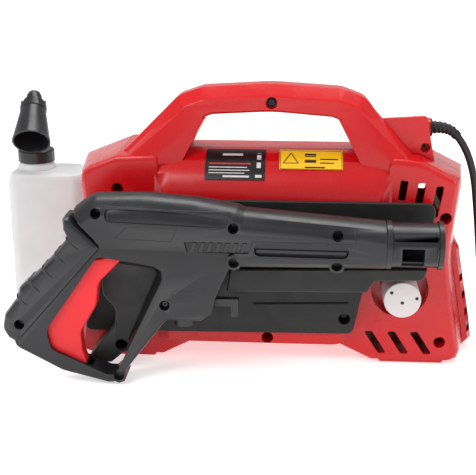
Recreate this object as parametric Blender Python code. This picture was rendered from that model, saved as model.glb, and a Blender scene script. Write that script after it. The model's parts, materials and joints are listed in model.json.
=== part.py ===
"""A portable pressure washer with its spray gun, foam bottle and mains cord.

Sizes are in millimetres and become metres where a mesh is made. X runs to the right, Y to the
back and Z up. The two shell halves meet on the plane Y = 0, and the object stands on Z = 0.
"""

import math

import bmesh
import bpy
from mathutils import Matrix, Vector

MM = 0.001
FLAT_ANGLE = 0.05       # degrees between faces that count as one flat face

# Fits
GAP = 0.3               # between two pieces that touch
PIVOT_GAP = 0.25        # around a pin that something turns on
SCREW_GAP = 0.3         # around a screw's shank

# Shell
BODY_LEFT = -184.0
BODY_RIGHT = 179.0
BODY_TOP = 202.0
SHOULDER_DROP = 4.5     # from the body's top to the foot of each handle leg
HANDLE_TOP = 263.5
HANDLE_BAR = 25.5    # height of the grip bar at its middle
HANDLE_DEPTH = 20.0     # from the parting plane to the handle's face
HANDLE_CHAMFER = 12.0
FRONT_DEPTH = 34.0      # parting plane to the flat front face
BARREL_DEPTH = 42.0     # parting plane to the front of the round middle part
REAR_DEPTH = 78.0
DRAFT_FRONT = 0.22      # the sides come in towards the front, per unit of depth
DRAFT_REAR = -0.13      # and spread towards the back
REAR_ROUND = 48.0       # radius of the turn from the top to the rear face
REAR_FLAT = REAR_DEPTH - REAR_ROUND
ARCH_TOP = 19.0
FOOT_EDGE = 3.5         # underside of the shell between its foot pads
PAD_UNDERSIDE = 0.8
WALL = 3.0
SEAM = 0.15             # half of the gap between the halves

# Screws
SHELL_HEAD_R = 4.3
SHELL_SHANK_R = 2.0
WELL_R = 5.6
POST_WALL = 2.4
GUN_HEAD_R = 3.6
GUN_SHANK_R = 1.5
GUN_WELL_R = 4.8
HEAD_T = 2.6

# Holder panel
PANEL_T = 3.7
SHELF_REACH = 38.0
BOSS_REACH = 27.0
PANEL_WALL = 2.5

# Inlet and outlet
PORT_X = 122.5
PORT_Z = 75.0
OUTLET_WELL = 22.0      # depth of the rear port's well
PORT_WELL_R = 26.7
PORT_FLOOR = 16.0       # depth of the front well's floor from the parting plane
PORT_R = 10.0
CAP_R = 17.0
CAP_WALL = 3.2
CAP_FACE = 62.0

# Motor and pump, on one axis along X
DRIVE_Y = 18.0
DRIVE_Z = 95.0
MOTOR_R = 40.0
MOTOR_WALL = 3.5
MOTOR_LEFT = -95.0
MOTOR_RIGHT = 10.0
SHAFT_R = 4.0
BEARING_R = 9.5
FAN_R = 34.0
SWASH_R = 26.0
SWASH_LIFT = 4.0
PISTON_R = 6.0
PISTON_CIRCLE = 18.0
PUMP_R = 32.0
PUMP_LEFT = 52.0

# Switch on the rear
SWITCH_X = -130.0
SWITCH_Z = 128.0
KNOB_R = 19.0
KNOB_T = 9.0

# Spray gun
GUN_Y = -89.0
BARREL_HALF = 21.0
FRAME_HALF = 12.0
GRIP_HALF = 16.0
GUN_WALL = 3.0
TRIGGER_HALF = 7.0
TRIGGER_GAP = 1.2
PIVOT_X = -126.0
PIVOT_Z = 126.5
PIVOT_R = 2.0
MUZZLE_X = 102.5
BORE_Z = 136.5
SOCKET_R = 21.2
SOCKET_BORE_R = 15.5
SOCKET_LENGTH = 48.5
PUSH_HEIGHT = 13.0      # of the valve pin above the trigger's pivot
VALVE_PIN_R = 2.0
VALVE_LEFT = -87.0
HOSE_X = -74.0
SOCKET_FOOT = 58.0      # underside of the hose's quick connector
VALVE_FOOT = 86.0
VALVE_WIDTH = 28.0
VALVE_HALF = 8.0        # half of the valve block's depth
CLIP_LEFT = -60.5
CLIP_RIGHT = -25.0
CLIP_LOW = 76.5
CLIP_T = 7.0
CLIP_HALF = 3.6
CLIP_GAP = 0.8
HOSE_R = 6.0

# Foam bottle
BOTTLE_LEFT = -287.0
BOTTLE_RIGHT = -203.0
BOTTLE_FRONT = 92.0
BOTTLE_BACK = 152.0
BOTTLE_TOP = 151.0
BOTTLE_WALL = 1.8
NECK_X = -259.5
NECK_R = 20.5
NECK_TOP = 158.0
MOUTH_R = 15.0
COLLAR_R = 19.6
COLLAR_H = 13.5
HORN_R = 20.0
HORN_LENGTH = 64.0
HORN_TILT = math.radians(42.0)
HORN_LIFT = 14.5    # height of the horn's mouth above the collar
HORN_REACH = 35.0       # from the neck's axis to the mouth
HEAD_TURN = math.radians(8.0)

# Mains cord
CORD_D = 7.0
GLAND_R = 5.4
GLAND_FLANGE_R = 8.2
GLAND_X = 148.9
GLAND_Y = 28.0
GLAND_Z = 217.5
COIL_X = 302.0
COIL_Y = 62.0
COIL_COLUMNS = 4
COIL_LAYERS = 4
COIL_MIDDLE_R = 45.0
PLUG_R = 18.5

RED = ((0.68, 0.012, 0.018), 0.32, 0.0)
BLACK = ((0.022, 0.023, 0.025), 0.5, 0.0)
CHARCOAL = ((0.045, 0.044, 0.042), 0.6, 0.0)
TRIGGER_RED = ((0.80, 0.035, 0.04), 0.4, 0.0)
LIGHT_GREY = ((0.72, 0.73, 0.74), 0.5, 0.0)
MILKY = ((0.86, 0.87, 0.86), 0.35, 0.0)
STEEL = ((0.55, 0.56, 0.58), 0.35, 1.0)
DARK_STEEL = ((0.12, 0.12, 0.13), 0.4, 1.0)
ALLOY = ((0.62, 0.63, 0.65), 0.45, 1.0)
BRASS = ((0.70, 0.50, 0.22), 0.35, 1.0)
COPPER = ((0.72, 0.34, 0.18), 0.4, 1.0)
RUBBER = ((0.018, 0.018, 0.018), 0.7, 0.0)
LABEL_DARK = ((0.03, 0.03, 0.03), 0.4, 0.0)
LABEL_YELLOW = ((0.90, 0.70, 0.03), 0.4, 0.0)


# ---------------------------------------------------------------- mesh helpers

def clear_scene():
    for obj in list(bpy.data.objects):
        bpy.data.objects.remove(obj, do_unlink=True)


def make_material(name, look):
    colour, roughness, metallic = look
    material = bpy.data.materials.new(name)
    material.use_nodes = True
    shader = material.node_tree.nodes["Principled BSDF"]
    shader.inputs["Base Color"].default_value = (*colour, 1.0)
    shader.inputs["Roughness"].default_value = roughness
    shader.inputs["Metallic"].default_value = metallic
    material.diffuse_color = (*colour, 1.0)
    return material


def finish_mesh(name, mesh_data):
    """An object from a bmesh in millimetres, with its faces pointing out."""
    bmesh.ops.triangulate(mesh_data, faces=[face for face in mesh_data.faces if len(face.verts) == 4])
    bmesh.ops.recalc_face_normals(mesh_data, faces=mesh_data.faces)
    bmesh.ops.scale(mesh_data, vec=(MM, MM, MM), verts=mesh_data.verts)
    mesh = bpy.data.meshes.new(name)
    mesh_data.to_mesh(mesh)
    mesh_data.free()
    obj = bpy.data.objects.new(name, mesh)
    bpy.context.scene.collection.objects.link(obj)
    return obj


def offset_corners(corners, insets):
    """Moves each edge of a counter-clockwise outline inwards by the inset of its tag."""
    count = len(corners)
    lines = []
    for index, (x, z, _, tag) in enumerate(corners):
        next_x, next_z = corners[(index + 1) % count][:2]
        length = math.hypot(next_x - x, next_z - z)
        normal = (-(next_z - z) / length, (next_x - x) / length)
        inset = insets.get(tag, 0.0) if isinstance(insets, dict) else insets
        lines.append((normal, normal[0] * x + normal[1] * z + inset, inset))
    moved = []
    for index, (x, z, radius, tag) in enumerate(corners):
        (a, reach_a, inset_a), (b, reach_b, inset_b) = lines[index - 1], lines[index]
        cross = a[0] * b[1] - a[1] * b[0]
        if abs(cross) < 1e-3:
            place = (x + b[0] * inset_b, z + b[1] * inset_b)
        else:
            place = ((reach_a * b[1] - a[1] * reach_b) / cross,
                     (a[0] * reach_b - reach_a * b[0]) / cross)
        grown = radius - math.copysign(min(inset_a, inset_b), cross)
        moved.append((*place, max(grown, 0.3), tag))
    return moved


def rounded(corners, steps=2):
    """The outline's points, with each corner an arc of its own radius."""
    count = len(corners)
    points = []
    for index, (x, z, radius, _) in enumerate(corners):
        here = Vector((x, z))
        back = Vector(corners[index - 1][:2]) - here
        ahead = Vector(corners[(index + 1) % count][:2]) - here
        room = 0.48 * min(back.length, ahead.length)
        back.normalize()
        ahead.normalize()
        half = back.angle(ahead) / 2
        reach = min(radius / math.tan(half), room)
        radius = reach * math.tan(half)
        centre = here + (back + ahead).normalized() * (radius / math.sin(half))
        start = here + back * reach - centre
        turn = math.pi - 2 * half
        side = 1 if back.x * ahead.y - back.y * ahead.x < 0 else -1
        for step in range(steps + 1):
            angle = side * turn * step / steps
            spot = Vector((start.x * math.cos(angle) - start.y * math.sin(angle),
                           start.x * math.sin(angle) + start.y * math.cos(angle)))
            points.append(tuple(centre + spot))
    return points


def loft(name, rings, closed=False):
    """A solid skinned over rings of equal length, given as points in millimetres."""
    mesh = bmesh.new()
    rows = [[mesh.verts.new(point) for point in ring] for ring in rings]
    pairs = list(zip(rows, rows[1:]))
    if closed:
        pairs.append((rows[-1], rows[0]))
    for low, high in pairs:
        for index in range(max(len(low), len(high))):
            quad = [low[index % len(low)], low[(index + 1) % len(low)],
                    high[(index + 1) % len(high)], high[index % len(high)]]
            mesh.faces.new(list(dict.fromkeys(quad)))
    if not closed:
        for row in (rows[0], rows[-1]):
            if len(row) > 2:
                mesh.faces.new(row)
    return finish_mesh(name, mesh)


def slab(name, corners, layers, steps=2):
    """An outline in the XZ plane carried along Y, with an inset at each layer."""
    rings = []
    for y, insets in layers:
        outline = rounded(offset_corners(corners, insets), steps)
        rings.append([(x, y, z) for x, z in outline])
    return loft(name, rings)


def turned(name, profile, origin, axis, segments=24, hole=False):
    """A solid of revolution. The profile holds (radius, distance along the axis) pairs."""
    axis = Vector(axis).normalized()
    across = axis.orthogonal().normalized()
    if abs(axis.z) < 0.99:
        across = axis.cross(Vector((0, 0, 1))).normalized()
    other = axis.cross(across)
    rings = []
    for radius, along in profile:
        centre = Vector(origin) + axis * along
        if radius == 0:
            rings.append([tuple(centre)])
            continue
        ring = []
        for step in range(segments):
            angle = 2 * math.pi * step / segments
            ring.append(tuple(centre + radius * (across * math.cos(angle) + other * math.sin(angle))))
        rings.append(ring)
    return loft(name, rings, closed=hole)


def rod(name, start, end, radius, segments=24):
    start, end = Vector(start), Vector(end)
    return turned(name, [(radius, 0), (radius, (end - start).length)], start, end - start, segments)


def rod_y(name, x, z, radius, y_from, y_to, segments=14):
    return rod(name, (x, y_from, z), (x, y_to, z), radius, segments)


def block(name, low, high):
    mesh = bmesh.new()
    bmesh.ops.create_cube(mesh, size=1.0)
    centre = (Vector(low) + Vector(high)) / 2
    bmesh.ops.scale(mesh, vec=Vector(high) - Vector(low), verts=mesh.verts)
    bmesh.ops.translate(mesh, vec=centre, verts=mesh.verts)
    return finish_mesh(name, mesh)


def hull(name, points):
    mesh = bmesh.new()
    for point in points:
        mesh.verts.new(point)
    result = bmesh.ops.convex_hull(mesh, input=mesh.verts)
    loose = [item for item in result["geom_interior"] if isinstance(item, bmesh.types.BMVert)]
    bmesh.ops.delete(mesh, geom=loose, context="VERTS")
    return finish_mesh(name, mesh)


def merge_flat_faces(obj):
    mesh = bmesh.new()
    mesh.from_mesh(obj.data)
    bmesh.ops.dissolve_limit(mesh, angle_limit=math.radians(FLAT_ANGLE), verts=mesh.verts, edges=mesh.edges)
    mesh.to_mesh(obj.data)
    mesh.free()


def combine(target, tools, operation):
    """Runs one exact Boolean after another on the target and removes the tools."""
    for tool in tools:
        modifier = target.modifiers.new(operation, "BOOLEAN")
        modifier.operation = operation
        modifier.solver = "EXACT"
        modifier.object = tool
        graph = bpy.context.evaluated_depsgraph_get()
        result = bpy.data.meshes.new_from_object(target.evaluated_get(graph))
        target.modifiers.clear()
        target.data = result
        bpy.data.objects.remove(tool, do_unlink=True)
    merge_flat_faces(target)
    return target


def cut(target, *tools):
    return combine(target, tools, "DIFFERENCE")


def join(target, *tools):
    return combine(target, tools, "UNION")


def piece(obj, name, look, parent, origin=(0.0, 0.0, 0.0)):
    """Names a finished solid, gives it its material and puts its origin on its axis."""
    obj.name = name
    obj.data.name = name
    obj.data.materials.clear()
    obj.data.materials.append(make_material(name, look))
    for face in obj.data.polygons:
        face.material_index = 0
    place = Vector(origin) * MM
    obj.data.transform(Matrix.Translation(-place))
    obj.data.shade_smooth()
    obj.data.set_sharp_from_angle(angle=math.radians(32))
    obj.parent = parent
    obj.location = place - (parent.matrix_world.translation if parent else Vector())
    bpy.context.view_layer.update()
    return obj


def empty(name, parent, place=(0.0, 0.0, 0.0)):
    obj = bpy.data.objects.new(name, None)
    bpy.context.scene.collection.objects.link(obj)
    obj.empty_display_size = 0.02
    obj.parent = parent
    obj.location = Vector(place) * MM - (parent.matrix_world.translation if parent else Vector())
    bpy.context.view_layer.update()
    return obj


# ---------------------------------------------------------------- shell halves

def body_corners():
    """The body's side view: feet, arch, waisted sides and shoulders."""
    shoulder = BODY_TOP - SHOULDER_DROP
    return [
        (BODY_LEFT - 8, FOOT_EDGE, 8, "low"),
        (-102, FOOT_EDGE, 4, "low"),
        (-72, ARCH_TOP, 16, "low"),
        (66, ARCH_TOP, 16, "low"),
        (98, FOOT_EDGE, 4, "low"),
        (BODY_RIGHT + 11, FOOT_EDGE, 9, "side"),
        (BODY_RIGHT - 7, 104, 120, "side"),
        (BODY_RIGHT, BODY_TOP - 25, 10, "top"),
        (138, shoulder, 10, "top"),
        (108, BODY_TOP - 1.6, 4, "hidden"),
        (108, 146, 4, "hidden"),
        (-104, 146, 4, "hidden"),
        (-104, BODY_TOP - 1.6, 4, "top"),
        (-143, shoulder + 1, 10, "top"),
        (BODY_LEFT, BODY_TOP - 20, 15, "side"),
        (BODY_LEFT + 7, 104, 120, "side"),
    ]


def barrel_corners():
    """The round middle part that stands proud of the flat front."""
    return [
        (-117, ARCH_TOP + 0.5, 3, "low"),
        (83, ARCH_TOP + 0.5, 3, "edge"),
        (90, 98, 8, "edge"),
        (121, 124, 8, "edge"),
        (121, BODY_TOP - 3.4, 4, "crown"),
        (96, BODY_TOP, 12, "crown"),
        (-94, BODY_TOP, 12, "crown"),
        (-117, BODY_TOP - 3, 4, "edge"),
    ]


def handle_corners(grow=0.0):
    """The handle's band: over the outside from right to left, then back along the opening."""
    under = HANDLE_TOP - HANDLE_BAR
    foot = BODY_TOP - 12
    return offset_corners([
        (138, foot, 4, "out"),
        (110, 217, 60, "out"),
        (86, HANDLE_TOP - 12, 16, "out"),
        (64, HANDLE_TOP - 4, 24, "out"),
        (0, HANDLE_TOP, 150, "out"),
        (-64, HANDLE_TOP - 3.8, 24, "out"),
        (-86, HANDLE_TOP - 11.5, 16, "out"),
        (-148, foot, 4, "hidden"),
        (-83, foot, 3, "in"),
        (-61, under - 3.5, 12, "in"),
        (0, under, 150, "in"),
        (63, under - 5, 14, "in"),
        (82, foot, 3, "hidden"),
    ], {"out": -grow, "in": -grow})


def quarter_round(flat, radius, side, reach, steps=5):
    """Layers that run straight and then turn down over a quarter circle."""
    layers = [(-side * reach, 0.0)]
    if flat > 0:
        layers.append((0.0, 0.0))
    for step in range(steps + 1):
        angle = math.pi / 2 * step / steps
        layers.append((side * (flat + radius * math.sin(angle)), radius * (1 - math.cos(angle))))
    return layers


def body_solid(name, side, depth, flat, radius, inset, overrun):
    """One half of the body. With an inset it is the hollow inside that half."""
    edge = 6.0
    draft = DRAFT_REAR if side > 0 else DRAFT_FRONT
    lower = [(-side * overrun, {"top": inset, "side": inset, "low": inset, "hidden": inset}),
             (side * 0.01, {"top": inset, "side": inset, "low": inset, "hidden": inset})]
    steps = ((depth - inset - edge, 0.0), (depth - inset - edge * 0.4, edge * 0.25), (depth - inset, edge))
    if inset > 0:
        steps = ((depth - inset, edge * 0.7), )
    for y, drop in steps:
        lower.append((side * y, {"top": inset + drop, "side": inset + 0.6 * drop + draft * y,
                                 "low": inset + 0.2 * drop, "hidden": inset}))
    body = slab(name, body_corners(), lower)
    crown = []
    for y, drop in quarter_round(flat, radius - inset, side, overrun + 1.7, 3 if inset > 0 else 5):
        crown.append((y, {"crown": inset + drop, "edge": inset + 0.57 * drop,
                          "low": inset + 0.04 * drop}))
    return join(body, slab("crown", barrel_corners(), crown))


def rear_body(name, inset, overrun=5.0):
    return body_solid(name, 1, REAR_DEPTH, REAR_FLAT, REAR_DEPTH - REAR_FLAT - 4, inset, overrun)


def leg_points(sign, side):
    """Corner points of the wedge that spreads a handle leg onto the body."""
    top_x, foot_x, inner_x = (90, 137, 84) if sign > 0 else (88, 145, 84)
    rise = HANDLE_TOP - 14
    base = BODY_TOP - 9
    spread = HANDLE_DEPTH + 11.5
    points = []
    for x, y, z in (
        (top_x, -2, rise - 4), (top_x + 20, -2, 218), (foot_x - 3, -2, BODY_TOP - 6), (foot_x, -2, base - 6),
        (78, HANDLE_DEPTH, rise - 7), (114, spread, base), (foot_x - 7, spread - 1.5, base - 1),
        (62, HANDLE_DEPTH, HANDLE_TOP - HANDLE_BAR - 7), (inner_x, HANDLE_DEPTH + 6, base - 3),
        (60, -2, HANDLE_TOP - HANDLE_BAR - 6), (inner_x, -2, base - 4),
        (foot_x - 9, spread - 4, base - 12), (98, spread - 4, base - 12),
    ):
        points.append((sign * x, side * y, z))
    return points


def handle_solid(name, side, inset, overrun):
    bevel_start = HANDLE_DEPTH * 0.45
    layers = []
    for y, out, inner in ((-overrun, 0.0, 0.0), (bevel_start, 0.0, 0.0),
                          (HANDLE_DEPTH - 1.5, HANDLE_CHAMFER - 2.5, 1.2), (HANDLE_DEPTH, HANDLE_CHAMFER, 3.0)):
        y_here = y if y < 0 else y * (HANDLE_DEPTH - inset) / HANDLE_DEPTH
        layers.append((side * y_here, {"out": inset + out * 0.9, "in": inset + inner}))
    return slab(name, handle_corners(), layers)


SHELL_SCREWS = {
    "handle": (0.0, HANDLE_TOP - 16.5, HANDLE_DEPTH),
    "left": (-142.0, BODY_TOP - 34, FRONT_DEPTH),
    "right": (BODY_RIGHT - 18, BODY_TOP - 57, FRONT_DEPTH),
    "foot": (BODY_RIGHT - 17, 23.0, FRONT_DEPTH),
    "middle": (-1.0, ARCH_TOP + 7.7, BARREL_DEPTH),
}
SCREW_LEDGE = 12.0      # of a shell screw's seat in front of the parting plane


def panel_screws():
    return {"plate": (71.0, 49.0), "boss": (-135.5, 28.5)}


def slot_tool(top, bottom, width, y_from, y_to):
    """A leaning slot between two centre points in the XZ plane."""
    (top_x, top_z), (low_x, low_z) = top, bottom
    corners = [
        (low_x - width / 2, low_z, 1.5, "e"), (low_x + width / 2, low_z, 1.5, "e"),
        (top_x + width / 2, top_z, 1.5, "e"), (top_x - width / 2, top_z, 1.5, "e"),
    ]
    return slab("slot", corners, [(y_from, 0.0), (y_to, 0.0)], steps=2)


def vent_tools(side, depth):
    """Three slots near the shoulder and three near the right foot."""
    y_from, y_to = side * (depth - 9), side * (depth + 6)
    tools = []
    for index in range(3):
        top = (BODY_RIGHT - 57 + 16.3 * index, BODY_TOP - 21.5 - 2.6 * index)
        bottom = (top[0] - 2 - 1.4 * index, BODY_TOP - 41 - 7.5 * index)
        tools.append(slot_tool(top, bottom, 7.0, y_from, y_to))
        top = (BODY_RIGHT - 85 + 21.5 * index, 33.0)
        tools.append(slot_tool(top, (top[0] + 14.5, 10.5), 8.0, y_from, y_to))
    return tools


def pad_tool(x_from, x_to, side, depth):
    """A foot pad under the shell, with sloping ends."""
    y_from, y_to = sorted((side * (SEAM + 1), side * (depth - 3)))
    return hull("pad", [(x, y, z) for z, trim in ((FOOT_EDGE + 1.5, 0), (PAD_UNDERSIDE, 3))
                        for x in (x_from + trim, x_to - trim) for y in (y_from, y_to)])


PADS = ((-166.0, -108.0), (104.0, 168.0))
FOOT_R = 8.0
FRONT_FOOT_Y = -18.0
REAR_FOOT_Y = 58.0


def foot_places():
    return [(sum(pad) / 2, y) for pad in PADS for y in (FRONT_FOOT_Y, REAR_FOOT_Y)]


def front_shell(parent):
    keep = block("far side", (-400, -SEAM, -50), (400, 60, 400))
    shell = body_solid("front", -1, FRONT_DEPTH, 0.0, BARREL_DEPTH, 0.0, 5.0)
    join(shell, handle_solid("handle", -1, 0.0, 8.0), hull("leg", leg_points(-1, -1)),
         hull("leg", leg_points(1, -1)), *[pad_tool(*pad, -1, FRONT_DEPTH) for pad in PADS])
    hollow = body_solid("hollow", -1, FRONT_DEPTH, 0.0, BARREL_DEPTH, WALL, 12.0)
    join(hollow, handle_solid("handle hollow", -1, WALL, 10.0))
    for name, (x, z, face) in SHELL_SCREWS.items():
        cut(hollow, rod_y(name, x, z, WELL_R + POST_WALL, -face - 8, 8))
    for x, z in panel_screws().values():
        cut(hollow, rod_y("panel post", x, z, WELL_R + 3 * POST_WALL, -BARREL_DEPTH - 8, -14))
    cut(hollow, rod_y("well wall", PORT_X, PORT_Z, PORT_WELL_R + WALL, -FRONT_DEPTH - 8, -PORT_FLOOR + WALL, 24))
    cut(shell, hollow)
    for name, (x, z, face) in SHELL_SCREWS.items():
        cut(shell, rod_y(name, x, z, WELL_R, -face - 8, -SCREW_LEDGE),
            rod_y(name, x, z, SHELL_SHANK_R + SCREW_GAP, -SCREW_LEDGE - 2, 5, 8))
    for x, z in panel_screws().values():
        cut(shell, rod_y("panel cup", x, z, WELL_R + POST_WALL + GAP, -BARREL_DEPTH - 8, -PANEL_CUP_FLOOR + GAP),
            rod_y("pilot", x, z, SHELL_SHANK_R + SCREW_GAP, -40, -8, 8))
    cut(shell, rod_y("well", PORT_X, PORT_Z, PORT_WELL_R, -FRONT_DEPTH - 8, -PORT_FLOOR, 32),
        rod_y("port hole", PORT_X, PORT_Z, PORT_R + 2, -PORT_FLOOR - 5, 5))
    cut(shell, *vent_tools(-1, FRONT_DEPTH))
    for x, y in foot_places():
        if y < 0:
            cut(shell, rod("foot hole", (x, y, -5), (x, y, PAD_UNDERSIDE + 2.6), FOOT_R + 0.4, 14))
    cut(shell, keep)
    return piece(shell, "front_shell", RED, parent)


def rear_shell(parent):
    keep = block("near side", (-400, -60, -50), (400, SEAM, 400))
    shell = rear_body("rear", 0.0)
    join(shell, handle_solid("handle", 1, 0.0, 8.0), hull("leg", leg_points(-1, 1)))
    join(shell, *[pad_tool(*pad, 1, REAR_DEPTH) for pad in PADS])
    hollow = rear_body("hollow", WALL, 12.0)
    join(hollow, handle_solid("handle hollow", 1, WALL, 10.0))
    for name, (x, z, _) in SHELL_SCREWS.items():
        cut(hollow, rod_y(name, x, z, SHELL_SHANK_R + 5.4, -8, REAR_DEPTH + 8))
    well_floor = REAR_DEPTH - OUTLET_WELL
    cut(hollow, rod_y("well wall", PORT_X, PORT_Z, PORT_WELL_R - 4 + WALL, well_floor - WALL, REAR_DEPTH + 8, 24))
    cut(shell, hollow)
    for name, (x, z, _) in SHELL_SCREWS.items():
        depth = 14 if name == "handle" else 22
        cut(shell, rod_y(name, x, z, SHELL_SHANK_R + SCREW_GAP, -5, depth, 8))
    cut(shell, rod_y("well", PORT_X, PORT_Z, PORT_WELL_R - 4, well_floor, REAR_DEPTH + 8, 24),
        rod_y("port hole", PORT_X, PORT_Z, PORT_R + 2, REAR_DEPTH - 30, REAR_DEPTH))
    cut(shell, rod_y("knob hole", SWITCH_X, SWITCH_Z, 5.5, REAR_DEPTH - 9, REAR_DEPTH + 6))
    cut(shell, *vent_tools(1, REAR_DEPTH))
    for x, y in foot_places():
        if y > 0:
            cut(shell, rod("foot hole", (x, y, -5), (x, y, PAD_UNDERSIDE + 2.6), FOOT_R + 0.4, 14))
    cut(shell, keep)
    return piece(shell, "rear_shell", RED, parent)


def shell_screws(parent):
    for name, (x, z, _) in SHELL_SCREWS.items():
        reach = 12 if name == "handle" else 18
        screw = screw_solid(x, z, -SCREW_LEDGE - GAP, reach, SHELL_HEAD_R, SHELL_SHANK_R)
        piece(screw, "shell_screw_" + name, DARK_STEEL, parent)


def screw_solid(x, z, seat, tip, head_r, shank_r):
    """A pan-head screw along Y. Its head rests on y = seat."""
    profile = [(0, 0), (head_r * 0.75, 0), (head_r, HEAD_T * 0.5), (head_r, HEAD_T),
               (shank_r, HEAD_T), (shank_r, HEAD_T + tip - seat - 2), (0, HEAD_T + tip - seat)]
    return turned("screw", profile, (x, seat - HEAD_T, z), (0, 1, 0), 10)


def rubber_feet(parent):
    names = ("left_front", "left_rear", "right_front", "right_rear")
    for name, (x, y) in zip(names, foot_places()):
        foot = turned("foot", [(0, 0), (FOOT_R - 1, 0), (FOOT_R, 1), (FOOT_R, 3.0), (0, 3.0)],
                      (x, y, 0), (0, 0, 1), 14)
        piece(foot, "rubber_foot_" + name, RUBBER, parent)


# ---------------------------------------------------------------- pieces fixed to the shell

PANEL_BACK = BARREL_DEPTH + GAP
PANEL_FACE = PANEL_BACK + PANEL_T
PANEL_CUP_FLOOR = 30.0      # depth of a panel screw's cup from the parting plane


def shelf_corners():
    return [(-36.5, 87.5, 1.5, "e"), (88.5, 89.5, 2, "e"), (94.5, 100.5, 2, "e"), (137, 101.5, 4, "e"),
            (141.5, 112.5, 1.5, "e"), (-33, 108.5, 1.5, "e")]


def boss_corners():
    return [(-168, 14, 2, "e"), (-146, 10, 5, "e"), (-136, 19, 5, "e"), (-98, 104.5, 5, "e"),
            (-141, 110, 8, "e"), (-152, 92, 8, "e"), (-151, 77, 8, "e"), (-139.5, 64, 10, "e"),
            (-141, 48, 12, "e")]


def holder_panel(parent):
    plate = [(-178, 31, 5, "e"), (79, 34, 6, "e"), (87, 76, 4, "e"), (90, 88, 3, "e"),
             (96, 98, 3, "e"), (142, 100, 3, "e"), (151.5, 162, 7, "e"), (-138, 162, 8, "e"),
             (-160, 145, 12, "e"), (-164, 60, 20, "e")]
    panel = slab("panel", plate, [(-PANEL_BACK, 0.0), (-PANEL_FACE + 1, 0.0), (-PANEL_FACE, 1.0)])
    join(panel, slab("shelf", shelf_corners(), [(-PANEL_BACK - 1, 0.0),
                                                (-PANEL_FACE - SHELF_REACH + 1, 0.0),
                                                (-PANEL_FACE - SHELF_REACH, 1.0)]))
    join(panel, slab("boss", boss_corners(), [(-PANEL_BACK, 0.0), (-PANEL_FACE - BOSS_REACH + 1, 0.0),
                                              (-PANEL_FACE - BOSS_REACH, 1.0)]))
    join(panel, hull("ridge", [(-17, -PANEL_FACE + 0.5, 60.5), (77, -PANEL_FACE + 0.5, 63.5),
                               (-17, -PANEL_FACE + 0.5, 64), (73, -PANEL_FACE - 1.2, 65),
                               (-12, -PANEL_FACE - 1.2, 62.2), (77, -PANEL_FACE + 0.5, 67)]))
    for x, z in panel_screws().values():
        join(panel, rod_y("cup", x, z, WELL_R + POST_WALL, -PANEL_BACK - 2, -PANEL_CUP_FLOOR))
    cut(panel, slab("shelf hollow", shelf_corners(),
                    [(-PANEL_BACK + 6, PANEL_WALL), (-PANEL_FACE - SHELF_REACH + PANEL_WALL, PANEL_WALL)]))
    hollow = slab("boss hollow", boss_corners(),
                  [(-PANEL_BACK + 6, PANEL_WALL), (-PANEL_FACE - BOSS_REACH + PANEL_WALL, PANEL_WALL)])
    boss_x, boss_z = panel_screws()["boss"]
    cut(hollow, rod_y("keep", boss_x, boss_z, WELL_R + POST_WALL + 0.4, -120, 0))
    cut(panel, hollow)
    post_front = -PANEL_FACE - BOSS_REACH + 1.5
    join(panel, rod_y("boss post", boss_x, boss_z, WELL_R + POST_WALL, post_front, -PANEL_BACK - 1))
    for x, z in panel_screws().values():
        cut(panel, rod_y("well", x, z, WELL_R, -120, -PANEL_CUP_FLOOR - 2.5),
            rod_y("hole", x, z, SHELL_SHANK_R + SCREW_GAP, -40, -20, 8))
    return piece(panel, "holder_panel", CHARCOAL, parent)


def panel_screw(parent):
    x, z = panel_screws()["plate"]
    screw = screw_solid(x, z, -PANEL_CUP_FLOOR - 2.5 - GAP, -12, SHELL_HEAD_R, SHELL_SHANK_R)
    return piece(screw, "panel_screw", DARK_STEEL, parent)


def label_solid(x_from, x_to, angle_from, angle_to):
    """A thin sheet that follows the round middle part of the front shell."""
    rings = []
    for step in range(9):
        angle = math.radians(angle_from + (angle_to - angle_from) * step / 8)
        ring = []
        for x, radius in ((x_from, 0.35), (x_to, 0.35), (x_to, 0.8), (x_from, 0.8)):
            reach = BARREL_DEPTH + radius
            ring.append((x, -reach * math.sin(angle), BODY_TOP - BARREL_DEPTH + reach * math.cos(angle)))
        rings.append(ring)
    return loft("label", rings)


def labels(parent):
    piece(label_solid(-60, -5, 12, 63), "rating_label", LABEL_DARK, parent)
    piece(label_solid(8, 66, 12, 48), "notice_label", LABEL_YELLOW, parent)


BOX_FRONT = 1.0
BOX_BACK = 50.0
BOX_SCREW = (143.0, BODY_TOP + 1.5)


def cord_box(parent):
    """The terminal housing behind the right handle leg. Its lid slopes to the rear."""
    corners = [(116, BODY_TOP - 20, 2, "e"), (154, BODY_TOP - 20, 2, "e"), (143, BODY_TOP + 32, 3, "top"),
               (98, BODY_TOP + 29, 2, "e")]
    box = slab("box", corners, [(BOX_FRONT, {"top": 1.0}), (BOX_FRONT + 1, {"top": 0.2}),
                                (BOX_BACK - 1, {"top": 9.0}), (BOX_BACK, {"top": 10.0, "e": 1.0})])
    join(box, rod("boss", (120, GLAND_Y, GLAND_Z), (GLAND_X, GLAND_Y, GLAND_Z), GLAND_FLANGE_R + 1.2, 28))
    cut(box, slab("inside", [(124, BODY_TOP + 3, 3, "e"), (141, BODY_TOP + 3, 3, "e"), (137, BODY_TOP + 24, 3, "e"),
                             (116, BODY_TOP + 24, 3, "e")], [(BOX_FRONT + 16, 0.0), (BOX_BACK - 5, 0.0)]))
    cut(box, rod("gland hole", (130, GLAND_Y, GLAND_Z), (170, GLAND_Y, GLAND_Z), GLAND_R + GAP, 24))
    cut(box, rear_body("body", -GAP))
    cut(box, slab("handle", handle_corners(GAP), [(-20, 0.0), (BOX_BACK + 20, 0.0)]))
    cut(box, rod_y("well", *BOX_SCREW, 4.6, -5, BOX_FRONT + 11),
        rod_y("pilot", *BOX_SCREW, 1.8, 5, BOX_FRONT + 22, 12))
    return piece(box, "cord_box", RED, parent)


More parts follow.
